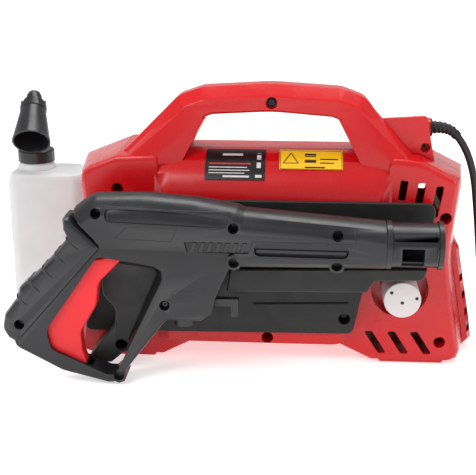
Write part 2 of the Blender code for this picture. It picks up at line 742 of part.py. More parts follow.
def side_vent_cover(parent):
    """The raised strip with small vents on the right side."""
    low = FOOT_EDGE + 3
    corners = [(150, low, 2, "e"), (BODY_RIGHT + 15, low - 2, 3, "out"), (BODY_RIGHT + 20.5, low + 4, 3, "out"),
               (BODY_RIGHT + 17.5, 31, 10, "out"), (BODY_RIGHT + 6, 90, 10, "out"),
               (BODY_RIGHT + 3.5, 105, 5, "out"), (BODY_RIGHT - 2, 111, 3, "e"), (150, 111, 2, "e")]
    cover = slab("cover", corners, [(6, {"out": 4.5}), (14, {"out": 0.6}), (56, {"out": 0.0}), (62, {"out": 3.0})])
    cut(cover, slab("hollow", corners, [(17, {"out": 3.4, "e": 3.0}), (54, {"out": 3.2, "e": 3.0})]))
    cut(cover, rear_body("body", -GAP))
    for x, z in ((4.2, 74), (7.6, 56.5), (11.2, 39), (14.2, 21.5)):
        cut(cover, block("vent", (BODY_RIGHT + x, 3, z - 3.4), (BODY_RIGHT + x + 3.6, 20, z + 3.4)))
    return piece(cover, "side_vent_cover", RED, parent)


# ---------------------------------------------------------------- water ports

def inlet_connector(parent):
    tube = turned("inlet", [(7, 0), (PORT_R, 0), (PORT_R, 30), (PORT_R - 1, 31), (PORT_R - 1, 33),
                            (PORT_R, 34), (PORT_R, 56), (7, 56)], (PORT_X, 2, PORT_Z), (0, -1, 0), 20, hole=True)
    return piece(tube, "inlet_connector", CHARCOAL, parent)


def inlet_filter(parent):
    cup = turned("filter", [(0, 0), (6.4, 0), (6.4, 18), (5.4, 18), (5.4, 1), (0, 1)],
                 (PORT_X, -34, PORT_Z), (0, -1, 0), 14)
    return piece(cup, "inlet_filter", STEEL, parent)


def inlet_cap(parent):
    """The transport cap. Its closed face looks to the front."""
    inner = PORT_R + 0.6
    open_end = -PORT_FLOOR - 9
    depth = CAP_FACE + open_end
    cap = turned("cap", [(0, 0), (CAP_R - 0.8, 0), (CAP_R, 0.8), (CAP_R, depth), (inner, depth),
                         (inner, CAP_WALL), (0, CAP_WALL)], (PORT_X, -CAP_FACE, PORT_Z), (0, 1, 0), 30)
    for x, z in ((-10, 7), (13, 2), (0, -2.5)):
        cut(cap, rod_y("dimple", PORT_X + x, PORT_Z + z, 1.7, -CAP_FACE - 2, -CAP_FACE + 2, 8))
    return piece(cap, "inlet_cap", LIGHT_GREY, parent, (PORT_X, -CAP_FACE, PORT_Z))


def outlet_connector(parent):
    start = DRIVE_Y + 24
    length = REAR_DEPTH - start
    collar = length - OUTLET_WELL
    tube = turned("outlet", [(5, 0), (PORT_R, 0), (PORT_R, collar), (PORT_R + 1.5, collar), (PORT_R + 1.5, collar + 3),
                             (PORT_R - 1, collar + 3), (PORT_R - 1, length), (5, length)],
                  (PORT_X, start, PORT_Z), (0, 1, 0), 20, hole=True)
    return piece(tube, "outlet_connector", BRASS, parent)


# ---------------------------------------------------------------- motor and pump

def on_drive(x):
    return (x, DRIVE_Y, DRIVE_Z)


def motor_can(parent):
    inner = MOTOR_R - MOTOR_WALL
    length = MOTOR_RIGHT - MOTOR_LEFT
    can = turned("can", [(MOTOR_R, 0), (MOTOR_R, length), (BEARING_R + GAP, length),
                         (BEARING_R + GAP, length - 8), (inner, length - 8), (inner, 0)],
                 on_drive(MOTOR_LEFT), (1, 0, 0), 24, hole=True)
    return piece(can, "motor_can", STEEL, parent)


def motor_end_plate(parent):
    plate = turned("plate", [(BEARING_R + GAP, 0), (MOTOR_R, 0), (MOTOR_R, 4), (BEARING_R + 3, 4),
                             (BEARING_R + 3, 8), (BEARING_R + GAP, 8)],
                   on_drive(MOTOR_LEFT - GAP), (-1, 0, 0), 24, hole=True)
    return piece(plate, "motor_end_plate", ALLOY, parent)


def bearings(parent):
    for name, x in (("left", MOTOR_LEFT - GAP - 7.5), ("right", MOTOR_RIGHT - 7)):
        ring = turned("ring", [(SHAFT_R + PIVOT_GAP, 0), (BEARING_R, 0), (BEARING_R, 6), (SHAFT_R + PIVOT_GAP, 6)],
                      on_drive(x), (1, 0, 0), 18, hole=True)
        piece(ring, "bearing_" + name, STEEL, parent)


def armature(parent):
    left, right = MOTOR_LEFT - 32, MOTOR_RIGHT + 22
    profile = [(0, left), (SHAFT_R, left), (SHAFT_R, MOTOR_LEFT + 12), (30, MOTOR_LEFT + 12),
               (30, MOTOR_LEFT + 68), (24, MOTOR_LEFT + 76), (SHAFT_R + 1, MOTOR_LEFT + 76),
               (SHAFT_R + 1, MOTOR_LEFT + 80), (13, MOTOR_LEFT + 80), (13, MOTOR_LEFT + 93),
               (SHAFT_R, MOTOR_LEFT + 93), (SHAFT_R, right), (0, right)]
    rotor = turned("rotor", profile, (0, DRIVE_Y, DRIVE_Z), (1, 0, 0), 18)
    return piece(rotor, "armature", COPPER, parent, on_drive(0))


def cooling_fan(parent):
    x = MOTOR_LEFT - 29
    bore = SHAFT_R + GAP
    fan = turned("fan", [(bore, 0), (FAN_R, 0), (FAN_R, 1.8), (10, 1.8), (9, 14), (bore, 14)],
                 on_drive(x), (1, 0, 0), 24, hole=True)
    for index in range(6):
        angle = 2 * math.pi * index / 6
        out = Vector((0, math.cos(angle), math.sin(angle)))
        side = Vector((0, -math.sin(angle), math.cos(angle)))
        corners = [Vector(on_drive(x + along)) + out * r + side * s
                   for r in (8.5, FAN_R - 1.5) for s in (-0.9 + 0.12 * r, 0.9 + 0.12 * r) for along in (1.0, 12.0)]
        join(fan, hull("blade", corners))
    return piece(fan, "cooling_fan", CHARCOAL, parent, on_drive(x))


def swash_plate(parent):
    """A disc on the shaft with one face tilted, which pushes the pistons in turn."""
    left, middle = MOTOR_RIGHT + 10, MOTOR_RIGHT + 22
    rings = []
    for radius in (SHAFT_R + GAP, SWASH_R):
        for face in (left, middle):
            ring = []
            for step in range(20):
                angle = 2 * math.pi * step / 20
                lift = SWASH_LIFT * radius / SWASH_R * math.cos(angle) if face == middle else 0.0
                ring.append((face + lift, DRIVE_Y + radius * math.cos(angle), DRIVE_Z + radius * math.sin(angle)))
            rings.append(ring)
    rings = [rings[0], rings[1], rings[3], rings[2]]
    plate = loft("swash", rings, closed=True)
    return piece(plate, "swash_plate", STEEL, parent, on_drive(left))


def piston_places():
    places = []
    for index in range(3):
        angle = math.radians(90 + 120 * index)
        places.append((DRIVE_Y + PISTON_CIRCLE * math.cos(angle), DRIVE_Z + PISTON_CIRCLE * math.sin(angle)))
    return places


def pistons(parents):
    start = MOTOR_RIGHT + 22 + SWASH_LIFT + 0.6
    for index, ((y, z), parent) in enumerate(zip(piston_places(), parents), 1):
        profile = [(0, 0), (PISTON_R - 2, 0), (PISTON_R, 2), (PISTON_R, 32), (0, 32)]
        solid = turned("piston", profile, (start, y, z), (1, 0, 0), 14)
        piece(solid, "piston_%d" % index, STEEL, parent, (start, y, z))


def pump_head(parent):
    head = turned("head", [(0, 0), (PUMP_R - 2, 0), (PUMP_R, 2), (PUMP_R, 34), (PUMP_R - 4, 38), (0, 38)],
                  on_drive(PUMP_LEFT), (1, 0, 0), 24)
    join(head, block("manifold", (PUMP_LEFT + 20, DRIVE_Y - 27, PORT_Z - 14),
                     (PORT_X + 15, DRIVE_Y + 28, PORT_Z + 14)))
    for y, z in piston_places():
        cut(head, rod("bore", (PUMP_LEFT - 5, y, z), (PUMP_LEFT + 24, y, z), PISTON_R + PIVOT_GAP, 14))
    cut(head, rod_y("inlet", PORT_X, PORT_Z, PORT_R + GAP, DRIVE_Y - 40, 2 + GAP, 20),
        rod_y("outlet", PORT_X, PORT_Z, PORT_R + GAP, DRIVE_Y + 24 - GAP, DRIVE_Y + 60, 20),
        rod_y("way through", PORT_X, PORT_Z, 4.5, 0, DRIVE_Y + 30, 16))
    return piece(head, "pump_head", ALLOY, parent)


def pressure_switch(parent):
    low = PORT_Z + 14 + GAP
    box = block("box", (PORT_X - 26, DRIVE_Y - 12, low), (PORT_X + 6, DRIVE_Y + 12, low + 22))
    join(box, block("tabs", (PORT_X - 20, DRIVE_Y - 3, low + 20), (PORT_X - 14, DRIVE_Y + 3, low + 30)))
    return piece(box, "pressure_switch", CHARCOAL, parent)


def capacitor(parent):
    can = turned("can", [(0, 0), (13, 0), (14.5, 1.5), (14.5, 55), (13, 56.5), (4, 56.5), (4, 60), (0, 60)],
                 (-70, DRIVE_Y + 4, DRIVE_Z + 62), (1, 0, 0), 16)
    return piece(can, "capacitor", LIGHT_GREY, parent)


# ---------------------------------------------------------------- switch

def switch_body(parent):
    back = REAR_DEPTH - WALL - GAP
    box = block("box", (SWITCH_X - 17, back - 18, SWITCH_Z - 15), (SWITCH_X + 17, back, SWITCH_Z + 15))
    cut(box, rod_y("spindle hole", SWITCH_X, SWITCH_Z, 4.0, back - 12, back + 5))
    return piece(box, "switch_body", CHARCOAL, parent)


def switch_knob(parent):
    """A round knob with a finger bar. Its spindle reaches through the rear wall."""
    face = REAR_DEPTH + GAP
    knob = turned("knob", [(0, -9), (3.6, -9), (3.6, 0), (KNOB_R, 0), (KNOB_R, 3), (KNOB_R - 1.5, KNOB_T - 4),
                           (0, KNOB_T - 4)], (SWITCH_X, face, SWITCH_Z), (0, 1, 0), 24)
    bar = slab("bar", [(SWITCH_X - KNOB_R + 2.5, SWITCH_Z - 4, 3, "e"), (SWITCH_X + KNOB_R - 2.5, SWITCH_Z - 4, 3, "e"),
                       (SWITCH_X + KNOB_R - 2.5, SWITCH_Z + 4, 3, "e"), (SWITCH_X - KNOB_R + 2.5, SWITCH_Z + 4, 3, "e")],
               [(face + 1, 0.0), (face + KNOB_T + 3, 0.6)])
    join(knob, bar)
    return piece(knob, "switch_knob", BLACK, parent, (SWITCH_X, face, SWITCH_Z))


# ---------------------------------------------------------------- spray gun

def receiver_corners():
    """The gun's upper body and barrel."""
    return [(-142.5, 132, 3, "seam"), (-28.5, 130, 2, "seam"), (-24.5, 114.3, 3, "belly"),
            (MUZZLE_X, 115.6, 1, "muzzle"), (MUZZLE_X, 157.4, 1, "top"), (-19, 167.4, 3, "top"),
            (-25.5, 170.2, 3, "top"), (-59, 176, 40, "top"), (-106, 179.8, 60, "top"),
            (-152, 178.5, 16, "top"), (-172, 163.5, 4, "seam")]


def frame_corners():
    """The lower block, the trigger guard and the core of the grip."""
    return [(-137.5, 1.2, 9, "e"), (-89.2, 64.9, 6, "e"), (-58.8, 64.4, 5, "e"), (-47.4, 72.3, 3, "e"),
            (-44.6, 86, 3, "e"), (-30.4, 118.5, 2, "e"), (-30.4, 136.2, 2, "e"), (-142.3, 140.1, 2, "e"),
            (-170.8, 136.2, 4, "e"), (-180.3, 120.4, 8, "e"), (-216.4, 89, 8, "e"), (-230.6, 59.5, 8, "e"),
            (-227.8, 35.9, 8, "e"), (-185.1, 13.3, 20, "e")]


def grip_corners():
    """The hand grip with its beavertail and finger steps."""
    return [(-214.5, 51.6, 5, "e"), (-144.2, 132.2, 4, "e"), (-178.5, 165, 5, "e"),
            (-178.4, 147, 6, "e"), (-174.6, 140.1, 6, "e"), (-188.9, 122.4, 5, "e"), (-205, 105.2, 5, "e"),
            (-220.2, 92.9, 5, "e"), (-224, 82.1, 5, "e"), (-235.4, 67.3, 6, "e"), (-238.2, 53.6, 8, "e"),
            (-228, 35.5, 8, "e")]


def opening_corners():
    """The finger opening inside the trigger guard."""
    return [(-195, 34, 10, "e"), (-137.5, 8, 8, "e"), (-86.8, 113.5, 9, "e"), (-149, 123.4, 7, "e"),
            (-198.3, 52.6, 10, "e")]


def trigger_corners():
    return [(-195.5, 28, 8, "e"), (-162.3, 15.2, 3, "e"), (-167, 32, 8, "e"), (-168, 49.7, 10, "e"),
            (-152.8, 75.2, 12, "e"), (-149.9, 96.8, 10, "e"), (-129.1, 118.5, 8, "e"), (-119.9, 123.4, 2, "e"),
            (-120.8, 143, 2, "e"), (-131, 143, 3, "e"), (-136.7, 122.4, 4, "e"), (-155.6, 118.5, 6, "e"),
            (-203.1, 53.6, 10, "e"), (-202.1, 39.8, 8, "e")]


def trigger_room_corners():
    """The pocket inside the shells where the trigger swings."""
    return [(-203.1, 20.2, 6, "e"), (-160.4, 11.3, 3, "e"), (-123.4, 110.6, 6, "e"), (-114.8, 120.4, 2, "e"),
            (-114.8, 147, 2, "e"), (-134.5, 147, 2, "e"), (-144, 137, 3, "e"), (-160, 128, 6, "e"),
            (-225, 68, 6, "e"), (-228, 50, 6, "e"), (-214.5, 28, 6, "e")]


GUN_WELLS = ((-147.1, 164.7), (-28.5, 153.9), (60.7, 148.9), (-28.5, 121.4), (60.7, 120.4), (-90.2, 79.1), (-133.5, 9.5),
             (-221.4, 58.9))
GUN_LOW_WELLS = (5, 6)
GUN_SCREWS = {"rear": 0, "middle": 1, "guard": 5, "grip": 7}
GUN_LEDGE = 5.0


def barrel_layers(side, inset):
    """A rounded section: the barrel's flanks turn in towards the face."""
    layers = [(GUN_Y - side * (4 + inset), {"top": inset, "belly": inset, "seam": inset, "muzzle": inset})]
    radius = BARREL_HALF - inset
    last = 2 if inset > 0 else 4
    for step in range(last + 1):
        angle = math.pi / 2 * step / last * 0.94
        drop = 17.0 * (1 - math.cos(angle))
        layers.append((GUN_Y + side * radius * math.sin(angle),
                       {"top": inset + drop, "belly": inset + drop * 0.9, "seam": inset + 0.12 * drop, "muzzle": inset}))
    return layers


def plain_layers(half, side, edge, inset):
    depth = half - inset
    if inset > 0:
        return [(GUN_Y - side * (4.7 + inset), inset), (GUN_Y + side * depth, inset + edge * 0.5)]
    return [(GUN_Y - side * (4.7 + inset), inset), (GUN_Y + side * (depth - edge), inset),
            (GUN_Y + side * (depth - edge * 0.3), inset + edge * 0.3), (GUN_Y + side * depth, inset + edge)]


def gun_solid(side, inset):
    body = slab("receiver", receiver_corners(), barrel_layers(side, inset))
    join(body, slab("frame", frame_corners(), plain_layers(FRAME_HALF, side, 2.5, inset)))
    join(body, slab("grip", grip_corners(), plain_layers(GRIP_HALF, side, 6.0, inset)))
    return body


def gun_half(side, parent):
    """One gun shell: side -1 faces the front, side 1 the machine."""
    shell = gun_solid(side, 0.0)
    hollow = gun_solid(side, GUN_WALL)
    wall = [(x, z, r, tag) for x, z, r, tag in offset_corners(opening_corners(), -GUN_WALL)]
    cut(hollow, slab("guard wall", wall, [(GUN_Y - 60, 0.0), (GUN_Y + 60, 0.0)]))
    cut(shell, hollow)
    for index, (x, z) in enumerate(GUN_WELLS):
        reach = FRAME_HALF if index in GUN_LOW_WELLS else GRIP_HALF
        post = rod_y("post", x, z, GUN_WELL_R + 2.5, GUN_Y - side * 2, GUN_Y + side * (reach - 1.5), 8)
        join(shell, post)
    cut(shell, slab("opening", opening_corners(), [(GUN_Y - 60, 0.0), (GUN_Y + 60, 0.0)]))
    pocket = TRIGGER_HALF + TRIGGER_GAP
    cut(shell, slab("trigger room", trigger_room_corners(), [(GUN_Y - pocket, 0.0), (GUN_Y + pocket, 0.0)]))
    cut(shell, rod("bore", (VALVE_LEFT + 20, GUN_Y, BORE_Z), (MUZZLE_X + 10, GUN_Y, BORE_Z), HOSE_R + GAP, 16))
    cut(shell, rod("hose bore", (HOSE_X, GUN_Y, SOCKET_FOOT - 18), (HOSE_X, GUN_Y, SOCKET_FOOT + 16),
                   HOSE_R + 3 + GAP, 18))
    clip_half = CLIP_HALF + CLIP_GAP
    cut(shell, block("clip way", (CLIP_LEFT - 9.5, GUN_Y - clip_half, CLIP_LOW - 1.1),
                     (CLIP_RIGHT + 5, GUN_Y + clip_half, CLIP_LOW + CLIP_T + 1.1)))
    half = VALVE_HALF + GAP
    cut(shell, block("valve room", (VALVE_LEFT - GAP, GUN_Y - half, VALVE_FOOT - GAP),
                     (VALVE_LEFT + VALVE_WIDTH + GAP, GUN_Y + half, BORE_Z + 10 + GAP)))
    cut(shell, rod_y("pivot", PIVOT_X, PIVOT_Z, PIVOT_R + PIVOT_GAP, GUN_Y - 11, GUN_Y + 11, 12))
    if side < 0:
        for x, z in GUN_WELLS:
            cut(shell, rod_y("well", x, z, GUN_WELL_R, GUN_Y - 40, GUN_Y - GUN_LEDGE, 12))
    for index in GUN_SCREWS.values():
        cut(shell, rod_y("hole", *GUN_WELLS[index], GUN_SHANK_R + SCREW_GAP, GUN_Y - 8, GUN_Y + 9, 8))
    if side < 0:
        cut(shell, *front_recesses())
    far = sorted((GUN_Y + side * SEAM, GUN_Y - side * 40))
    cut(shell, block("other half", (-300, far[0] if side > 0 else GUN_Y - SEAM, -60),
                     (200, GUN_Y + SEAM if side > 0 else far[1], 250)))
    name = "gun_front_shell" if side < 0 else "gun_rear_shell"
    return piece(shell, name, BLACK, parent)


def front_recesses():
    """The long recess, the badge field, the ribs and the slot in the gun's flank."""
    face = GUN_Y - BARREL_HALF
    recess = slab("recess", [(-138.6, 157.8, 4, "e"), (-34.2, 153.9, 2, "e"), (-32.3, 165.2, 2, "e"),
                             (-139.5, 169.6, 4, "e")], [(face - 9, 0.0), (face + 4.2, 0.0)])
    slot = slab("slot", [(-10.4, 129.8, 4, "e"), (70.2, 128.8, 4, "e"), (70.2, 140.1, 4, "e"),
                         (-10.4, 141.1, 4, "e")], [(face - 9, 0.0), (face + 4.0, 0.0)])
    ribs = slab("ribs", [(-68.3, 131.7, 1, "e"), (-15.2, 131.7, 1, "e"), (-11.4, 141.6, 1, "e"),
                         (-71.2, 141.6, 1, "e")], [(face - 9, 0.0), (face + 2.4, 0.0)])
    return recess, slot, ribs


def gun_screws(parent):
    for name, index in GUN_SCREWS.items():
        x, z = GUN_WELLS[index]
        screw = screw_solid(x, z, GUN_Y - GUN_LEDGE - GAP, GUN_Y + 8, GUN_HEAD_R, GUN_SHANK_R)
        piece(screw, "gun_screw_" + name, DARK_STEEL, parent)


def trigger(parent):
    lever = slab("trigger", trigger_corners(), [(GUN_Y - TRIGGER_HALF, 1.2), (GUN_Y - TRIGGER_HALF + 1.2, 0.0),
                                                (GUN_Y + TRIGGER_HALF - 1.2, 0.0), (GUN_Y + TRIGGER_HALF, 1.2)])
    cut(lever, rod_y("hole", PIVOT_X, PIVOT_Z, PIVOT_R + PIVOT_GAP, GUN_Y - 20, GUN_Y + 20, 16))
    return piece(lever, "trigger", TRIGGER_RED, parent, (PIVOT_X, GUN_Y, PIVOT_Z))


def trigger_pin(parent):
    pin = rod_y("pin", PIVOT_X, PIVOT_Z, PIVOT_R, GUN_Y - 10.5, GUN_Y + 10.5, 16)
    return piece(pin, "trigger_pin", STEEL, parent)


def valve_block(parent):
    """The brass valve: water comes up from the hose and leaves along the barrel."""
    top = BORE_Z + 10
    body = block("block", (VALVE_LEFT, GUN_Y - VALVE_HALF, VALVE_FOOT),
                 (VALVE_LEFT + VALVE_WIDTH, GUN_Y + VALVE_HALF, top))
    cut(body, rod("pin bore", (VALVE_LEFT - 5, GUN_Y, PIVOT_Z + PUSH_HEIGHT),
                  (VALVE_LEFT + 12, GUN_Y, PIVOT_Z + PUSH_HEIGHT), VALVE_PIN_R + PIVOT_GAP, 16),
        rod("outlet bore", (VALVE_LEFT + 18, GUN_Y, BORE_Z), (VALVE_LEFT + 40, GUN_Y, BORE_Z), HOSE_R + GAP, 20),
        rod("hose bore", (HOSE_X, GUN_Y, VALVE_FOOT - 6), (HOSE_X, GUN_Y, VALVE_FOOT + 34), 4.0, 16))
    return piece(body, "valve_block", BRASS, parent)


def valve_pin(parent):
    left = PIVOT_X + 6 + GAP
    z = PIVOT_Z + PUSH_HEIGHT
    pin = turned("pin", [(0, 0), (VALVE_PIN_R, 0), (VALVE_PIN_R, 6), (4.5, 6), (4.5, 8), (VALVE_PIN_R, 8),
                         (VALVE_PIN_R, VALVE_LEFT + 8 - left), (0, VALVE_LEFT + 8 - left)],
                 (left, GUN_Y, z), (1, 0, 0), 16)
    return piece(pin, "valve_pin", STEEL, parent, (left, GUN_Y, z))


def valve_spring(parent):
    """A coil spring around the valve pin, between its collar and the valve block."""
    start, end = PIVOT_X + 6 + GAP + 8 + 3.1, VALVE_LEFT - GAP
    middle = PIVOT_Z + PUSH_HEIGHT
    turns, wire, radius, sides = 4, 0.7, 3.9, 5
    count = turns * 10
    centres = []
    for step in range(count + 1):
        angle = 2 * math.pi * step / 10
        along = start + wire + (end - start - 2 * wire) * step / count
        centres.append(Vector((along, GUN_Y + radius * math.cos(angle), middle + radius * math.sin(angle))))
    rings = []
    for index, centre in enumerate(centres):
        ahead = (centres[min(index + 1, count)] - centres[max(index - 1, 0)]).normalized()
        out = (centre - Vector((centre.x, GUN_Y, middle))).normalized()
        side = ahead.cross(out).normalized()
        out = side.cross(ahead)
        rings.append([tuple(centre + wire * (out * math.cos(2 * math.pi * n / sides)
                                             + side * math.sin(2 * math.pi * n / sides))) for n in range(sides)])
    return piece(loft("spring", rings), "valve_spring", STEEL, parent)


def outlet_tube(parent):
    left = VALVE_LEFT + 18 + GAP
    length = MUZZLE_X - 2 - left
    tube = turned("tube", [(3.5, 0), (HOSE_R, 0), (HOSE_R, length), (3.5, length)], (left, GUN_Y, BORE_Z),
                  (1, 0, 0), 14, hole=True)
    return piece(tube, "outlet_tube", BRASS, parent)


def bayonet_socket(parent):
    """The muzzle socket: flanged ends, a groove along the top and a window for the lance's lugs."""
    r = SOCKET_R
    start = MUZZLE_X + GAP
    profile = [(SOCKET_BORE_R, 0), (r, 0), (r, 4.5), (r - 1.6, 5), (r - 1.6, SOCKET_LENGTH - 4.5),
               (r, SOCKET_LENGTH - 4), (r, SOCKET_LENGTH), (SOCKET_BORE_R, SOCKET_LENGTH)]
    socket = turned("socket", profile, (start, GUN_Y, BORE_Z), (1, 0, 0), 30, hole=True)
    front = GUN_Y - r
    end = start + SOCKET_LENGTH
    cut(socket, block("groove", (start + 6, front - 5, BORE_Z + 8), (end - 6, front + 7.2, BORE_Z + 15)))
    cut(socket, block("ledge", (start + 8, front - 5, BORE_Z - 17), (start + 37, front + 3.4, BORE_Z + 4)),
        block("lug way", (start + 36, front - 5, BORE_Z - 12), (end - 6, front + 3.4, BORE_Z + 4)),
        block("window", (start + 13, front - 5, BORE_Z - 15), (start + 32, front + 12, BORE_Z + 1.5)))
    return piece(socket, "bayonet_socket", BLACK, parent)


def hose_socket(parent):
    """The quick connector for the hose, in the bottom of the lower block."""
    socket = turned("socket", [(4, 0), (HOSE_R + 3, 0), (HOSE_R + 3, 15), (4, 15)], (HOSE_X, GUN_Y, SOCKET_FOOT),
                    (0, 0, 1), 18, hole=True)
    return piece(socket, "hose_socket", BLACK, parent)


def hose_clip(parent):
    """The sliding clip that locks the hose. Its hooked end sticks out of the block."""
    top = CLIP_LOW + CLIP_T
    corners = [(CLIP_LEFT, CLIP_LOW, 1, "e"), (CLIP_RIGHT - CLIP_T, CLIP_LOW, 1, "e"),
               (CLIP_RIGHT - CLIP_T, CLIP_LOW - 10, 1, "e"), (CLIP_RIGHT, CLIP_LOW - 10, 1, "e"),
               (CLIP_RIGHT, top, 1, "e"), (CLIP_LEFT, top, 1, "e")]
    clip = slab("clip", corners, [(GUN_Y - CLIP_HALF, 0.0), (GUN_Y + CLIP_HALF, 0.0)], steps=2)
    return piece(clip, "hose_clip", BLACK, parent, (CLIP_RIGHT - 18.5, GUN_Y, CLIP_LOW + CLIP_T / 2))


# ---------------------------------------------------------------- foam bottle

def oblong(left, right, front, back, radius, z, steps=3):
    corners = [(left, front, radius, "e"), (right, front, radius, "e"), (right, back, radius, "e"),
               (left, back, radius, "e")]
    return [(x, y, z) for x, y in rounded(corners, steps)]


def bottle_shape(inset):
    """The body, shoulder and neck as a stack of outlines."""
    neck_y = (BOTTLE_FRONT + BOTTLE_BACK) / 2
    i = inset
    rings = []
    for z, trim, radius in ((i, 4, 10), (3 + i, 1, 12), (8, 0, 13), (BOTTLE_TOP - 12, 0, 13),
                            (BOTTLE_TOP - 3 - i, 3, 13), (BOTTLE_TOP - i, 9, 10)):
        t = trim + i
        rings.append(oblong(BOTTLE_LEFT + t, BOTTLE_RIGHT - t, BOTTLE_FRONT + t, BOTTLE_BACK - t,
                            max(radius - i, 3), z))
    body = loft("bottle", rings)
    radius = NECK_R - i
    neck = turned("neck", [(radius, BOTTLE_TOP - 30), (radius, NECK_TOP - i - 4), (MOUTH_R + 2.5 - i, NECK_TOP - i),
                           (MOUTH_R + 2.5 - i, NECK_TOP + 10 if i == 0 else NECK_TOP + 15)],
                  (NECK_X, neck_y, 0), (0, 0, 1), 22)
    return join(body, neck)


def bottle(parent):
    solid = cut(bottle_shape(0.0), bottle_shape(BOTTLE_WALL))
    return piece(solid, "foam_bottle", MILKY, parent)


def neck_axis():
    return (NECK_X, (BOTTLE_FRONT + BOTTLE_BACK) / 2)


def foam_collar(parent):
    x, y = neck_axis()
    bore = MOUTH_R + 2.5 + GAP
    z = NECK_TOP + GAP
    collar = turned("collar", [(bore, 0), (COLLAR_R, 0), (COLLAR_R, 1), (COLLAR_R, COLLAR_H - 1.5),
                               (COLLAR_R - 1.5, COLLAR_H), (9.4, COLLAR_H), (9.4, COLLAR_H - 2.4), (bore, COLLAR_H - 2.4)],
                    (x, y, z), (0, 0, 1), 28, hole=True)
    return piece(collar, "foam_collar", BLACK, parent, (x, y, z))


def horn_axis():
    """The mouth's centre and the direction from the mouth up to the bayonet end."""
    x, y = neck_axis()
    mouth = Vector((x + HORN_REACH * math.sin(HEAD_TURN), y - HORN_REACH * math.cos(HEAD_TURN),
                    NECK_TOP + COLLAR_H + HORN_LIFT))
    level = Vector((-math.sin(HEAD_TURN), math.cos(HEAD_TURN), 0))
    return mouth, level * math.cos(HORN_TILT) + Vector((0, 0, 1)) * math.sin(HORN_TILT)


def foam_nozzle(parent):
    """The horn, its stem on the collar and the bayonet end with two lugs."""
    x, y = neck_axis()
    mouth, up = horn_axis()
    length = HORN_LENGTH
    nozzle = turned("horn", [(HORN_R, 0), (HORN_R - 1.4, 8), (13.4, 40), (14.2, 41), (14.2, 45), (11.5, 46),
                             (11.5, 52), (8.2, 53), (8.2, length - 4), (6.4, length), (0, length)], mouth, up, 20)
    join(nozzle, rod("stem", (x, y, NECK_TOP + GAP + COLLAR_H + GAP), (x, y, NECK_TOP + COLLAR_H + 34), 9.0, 16))
    side = up.cross(Vector((0, 0, 1))).normalized()
    lug = mouth + up * 49
    top = side.cross(up).normalized()
    corners = [lug + side * s + up * u + top * t for s in (-13.2, 13.2) for u in (-2.5, 2.5) for t in (-3.5, 3.5)]
    join(nozzle, hull("lugs", corners))
    throat = turned("throat", [(0, -6), (HORN_R - 0.2, -6), (HORN_R - 2.0, 0.5), (HORN_R - 3.6, 9), (9.0, 34), (4.0, 36),
                               (4.0, 46), (0, 46)], mouth, up, 20)
    cut(nozzle, throat)
    cut(nozzle, rod("draw bore", (x, y, NECK_TOP), (x, y, NECK_TOP + COLLAR_H + 30), 3.4, 10))
    return piece(nozzle, "foam_nozzle", BLACK, parent, (x, y, NECK_TOP + COLLAR_H))


def pickup_tube(parent):
    x, y = neck_axis()
    top = NECK_TOP + COLLAR_H + 12
    tube = turned("tube", [(2.0, 0), (3.0, 0), (3.0, top - 10), (2.0, top - 10)], (x, y, 10), (0, 0, 1), 10, hole=True)
    return piece(tube, "pickup_tube", MILKY, parent)


# ---------------------------------------------------------------- mains cord

CORD_ROUTE = (
    (162.2, 28.0, 217.5), (170.5, 28.2, 214.2), (179.0, 29.0, 205.5), (187.5, 30.5, 190.5),
    (194.5, 33.0, 169.0), (199.5, 37.0, 141.0), (204.0, 41.5, 110.0),
    (208.5, 46.0, 76.0), (212.5, 50.0, 46.0), (217.0, 55.5, 22.0), (224.0, 65.0, 7.5),
    (233.5, 78.0, 3.7), (243.0, 91.5, 3.7),
)
TAIL_ROUTE = ((331.0, 119.0, 24.5), (345.0, 119.4, 23.5), (359.0, 120.0, 20.5), (372.0, 120.5, 18.9),
              (384.7, 120.5, 18.7))


def smooth_route(points, spacing):
    """Evenly spaced points on a Catmull-Rom curve through the route."""
    route = [Vector(point) for point in points]
    route = [2 * route[0] - route[1], *route, 2 * route[-1] - route[-2]]
    fine = []
    for index in range(1, len(route) - 2):
        a, b, c, d = route[index - 1:index + 3]
        for step in range(24):
            t = step / 24
            fine.append(0.5 * (2 * b + (c - a) * t + (2 * a - 5 * b + 4 * c - d) * t * t
                               + (3 * b - a - 3 * c + d) * t ** 3))
    fine.append(route[-2])
    total = sum((b - a).length for a, b in zip(fine, fine[1:]))
    count = max(2, round(total / spacing))
    spaced, walked, target = [fine[0]], 0.0, total / count
    for a, b in zip(fine, fine[1:]):
        step = (b - a).length
        while walked + step >= target * len(spaced) and len(spaced) < count:
            spaced.append(a.lerp(b, (target * len(spaced) - walked) / step))
        walked += step
    return [*spaced, fine[-1]]


def cord_run(name, points, parent):
    curve = bpy.data.curves.new(name, "CURVE")
    curve.dimensions = "3D"
    curve.bevel_depth = CORD_D / 2 * MM
    curve.bevel_resolution = 3
    curve.use_fill_caps = True
    route = smooth_route(points, 2.2 * CORD_D)
    spline = curve.splines.new("POLY")
    spline.points.add(len(route) - 1)
    for point, place in zip(spline.points, route):
        point.co = (*(place * MM), 1.0)
    obj = bpy.data.objects.new(name, curve)
    bpy.context.scene.collection.objects.link(obj)
    obj.data.materials.append(make_material(name, RUBBER))
    obj.parent = parent
    return obj


def cord_gland(parent):
    """The strain relief: a flange on the box and a tapered sleeve around the cord."""
    bore = CORD_D / 2 + GAP
    gland = turned("gland", [(bore, -7), (GLAND_R, -7), (GLAND_R, 0), (GLAND_FLANGE_R, 0), (GLAND_FLANGE_R, 2.2),
                             (GLAND_R + 0.4, 2.4), (GLAND_R - 0.6, 12.4), (bore, 12.4)],
                   (GLAND_X + GAP, GLAND_Y, GLAND_Z), (1, 0, 0), 20, hole=True)
    return piece(gland, "cord_gland", RUBBER, parent)


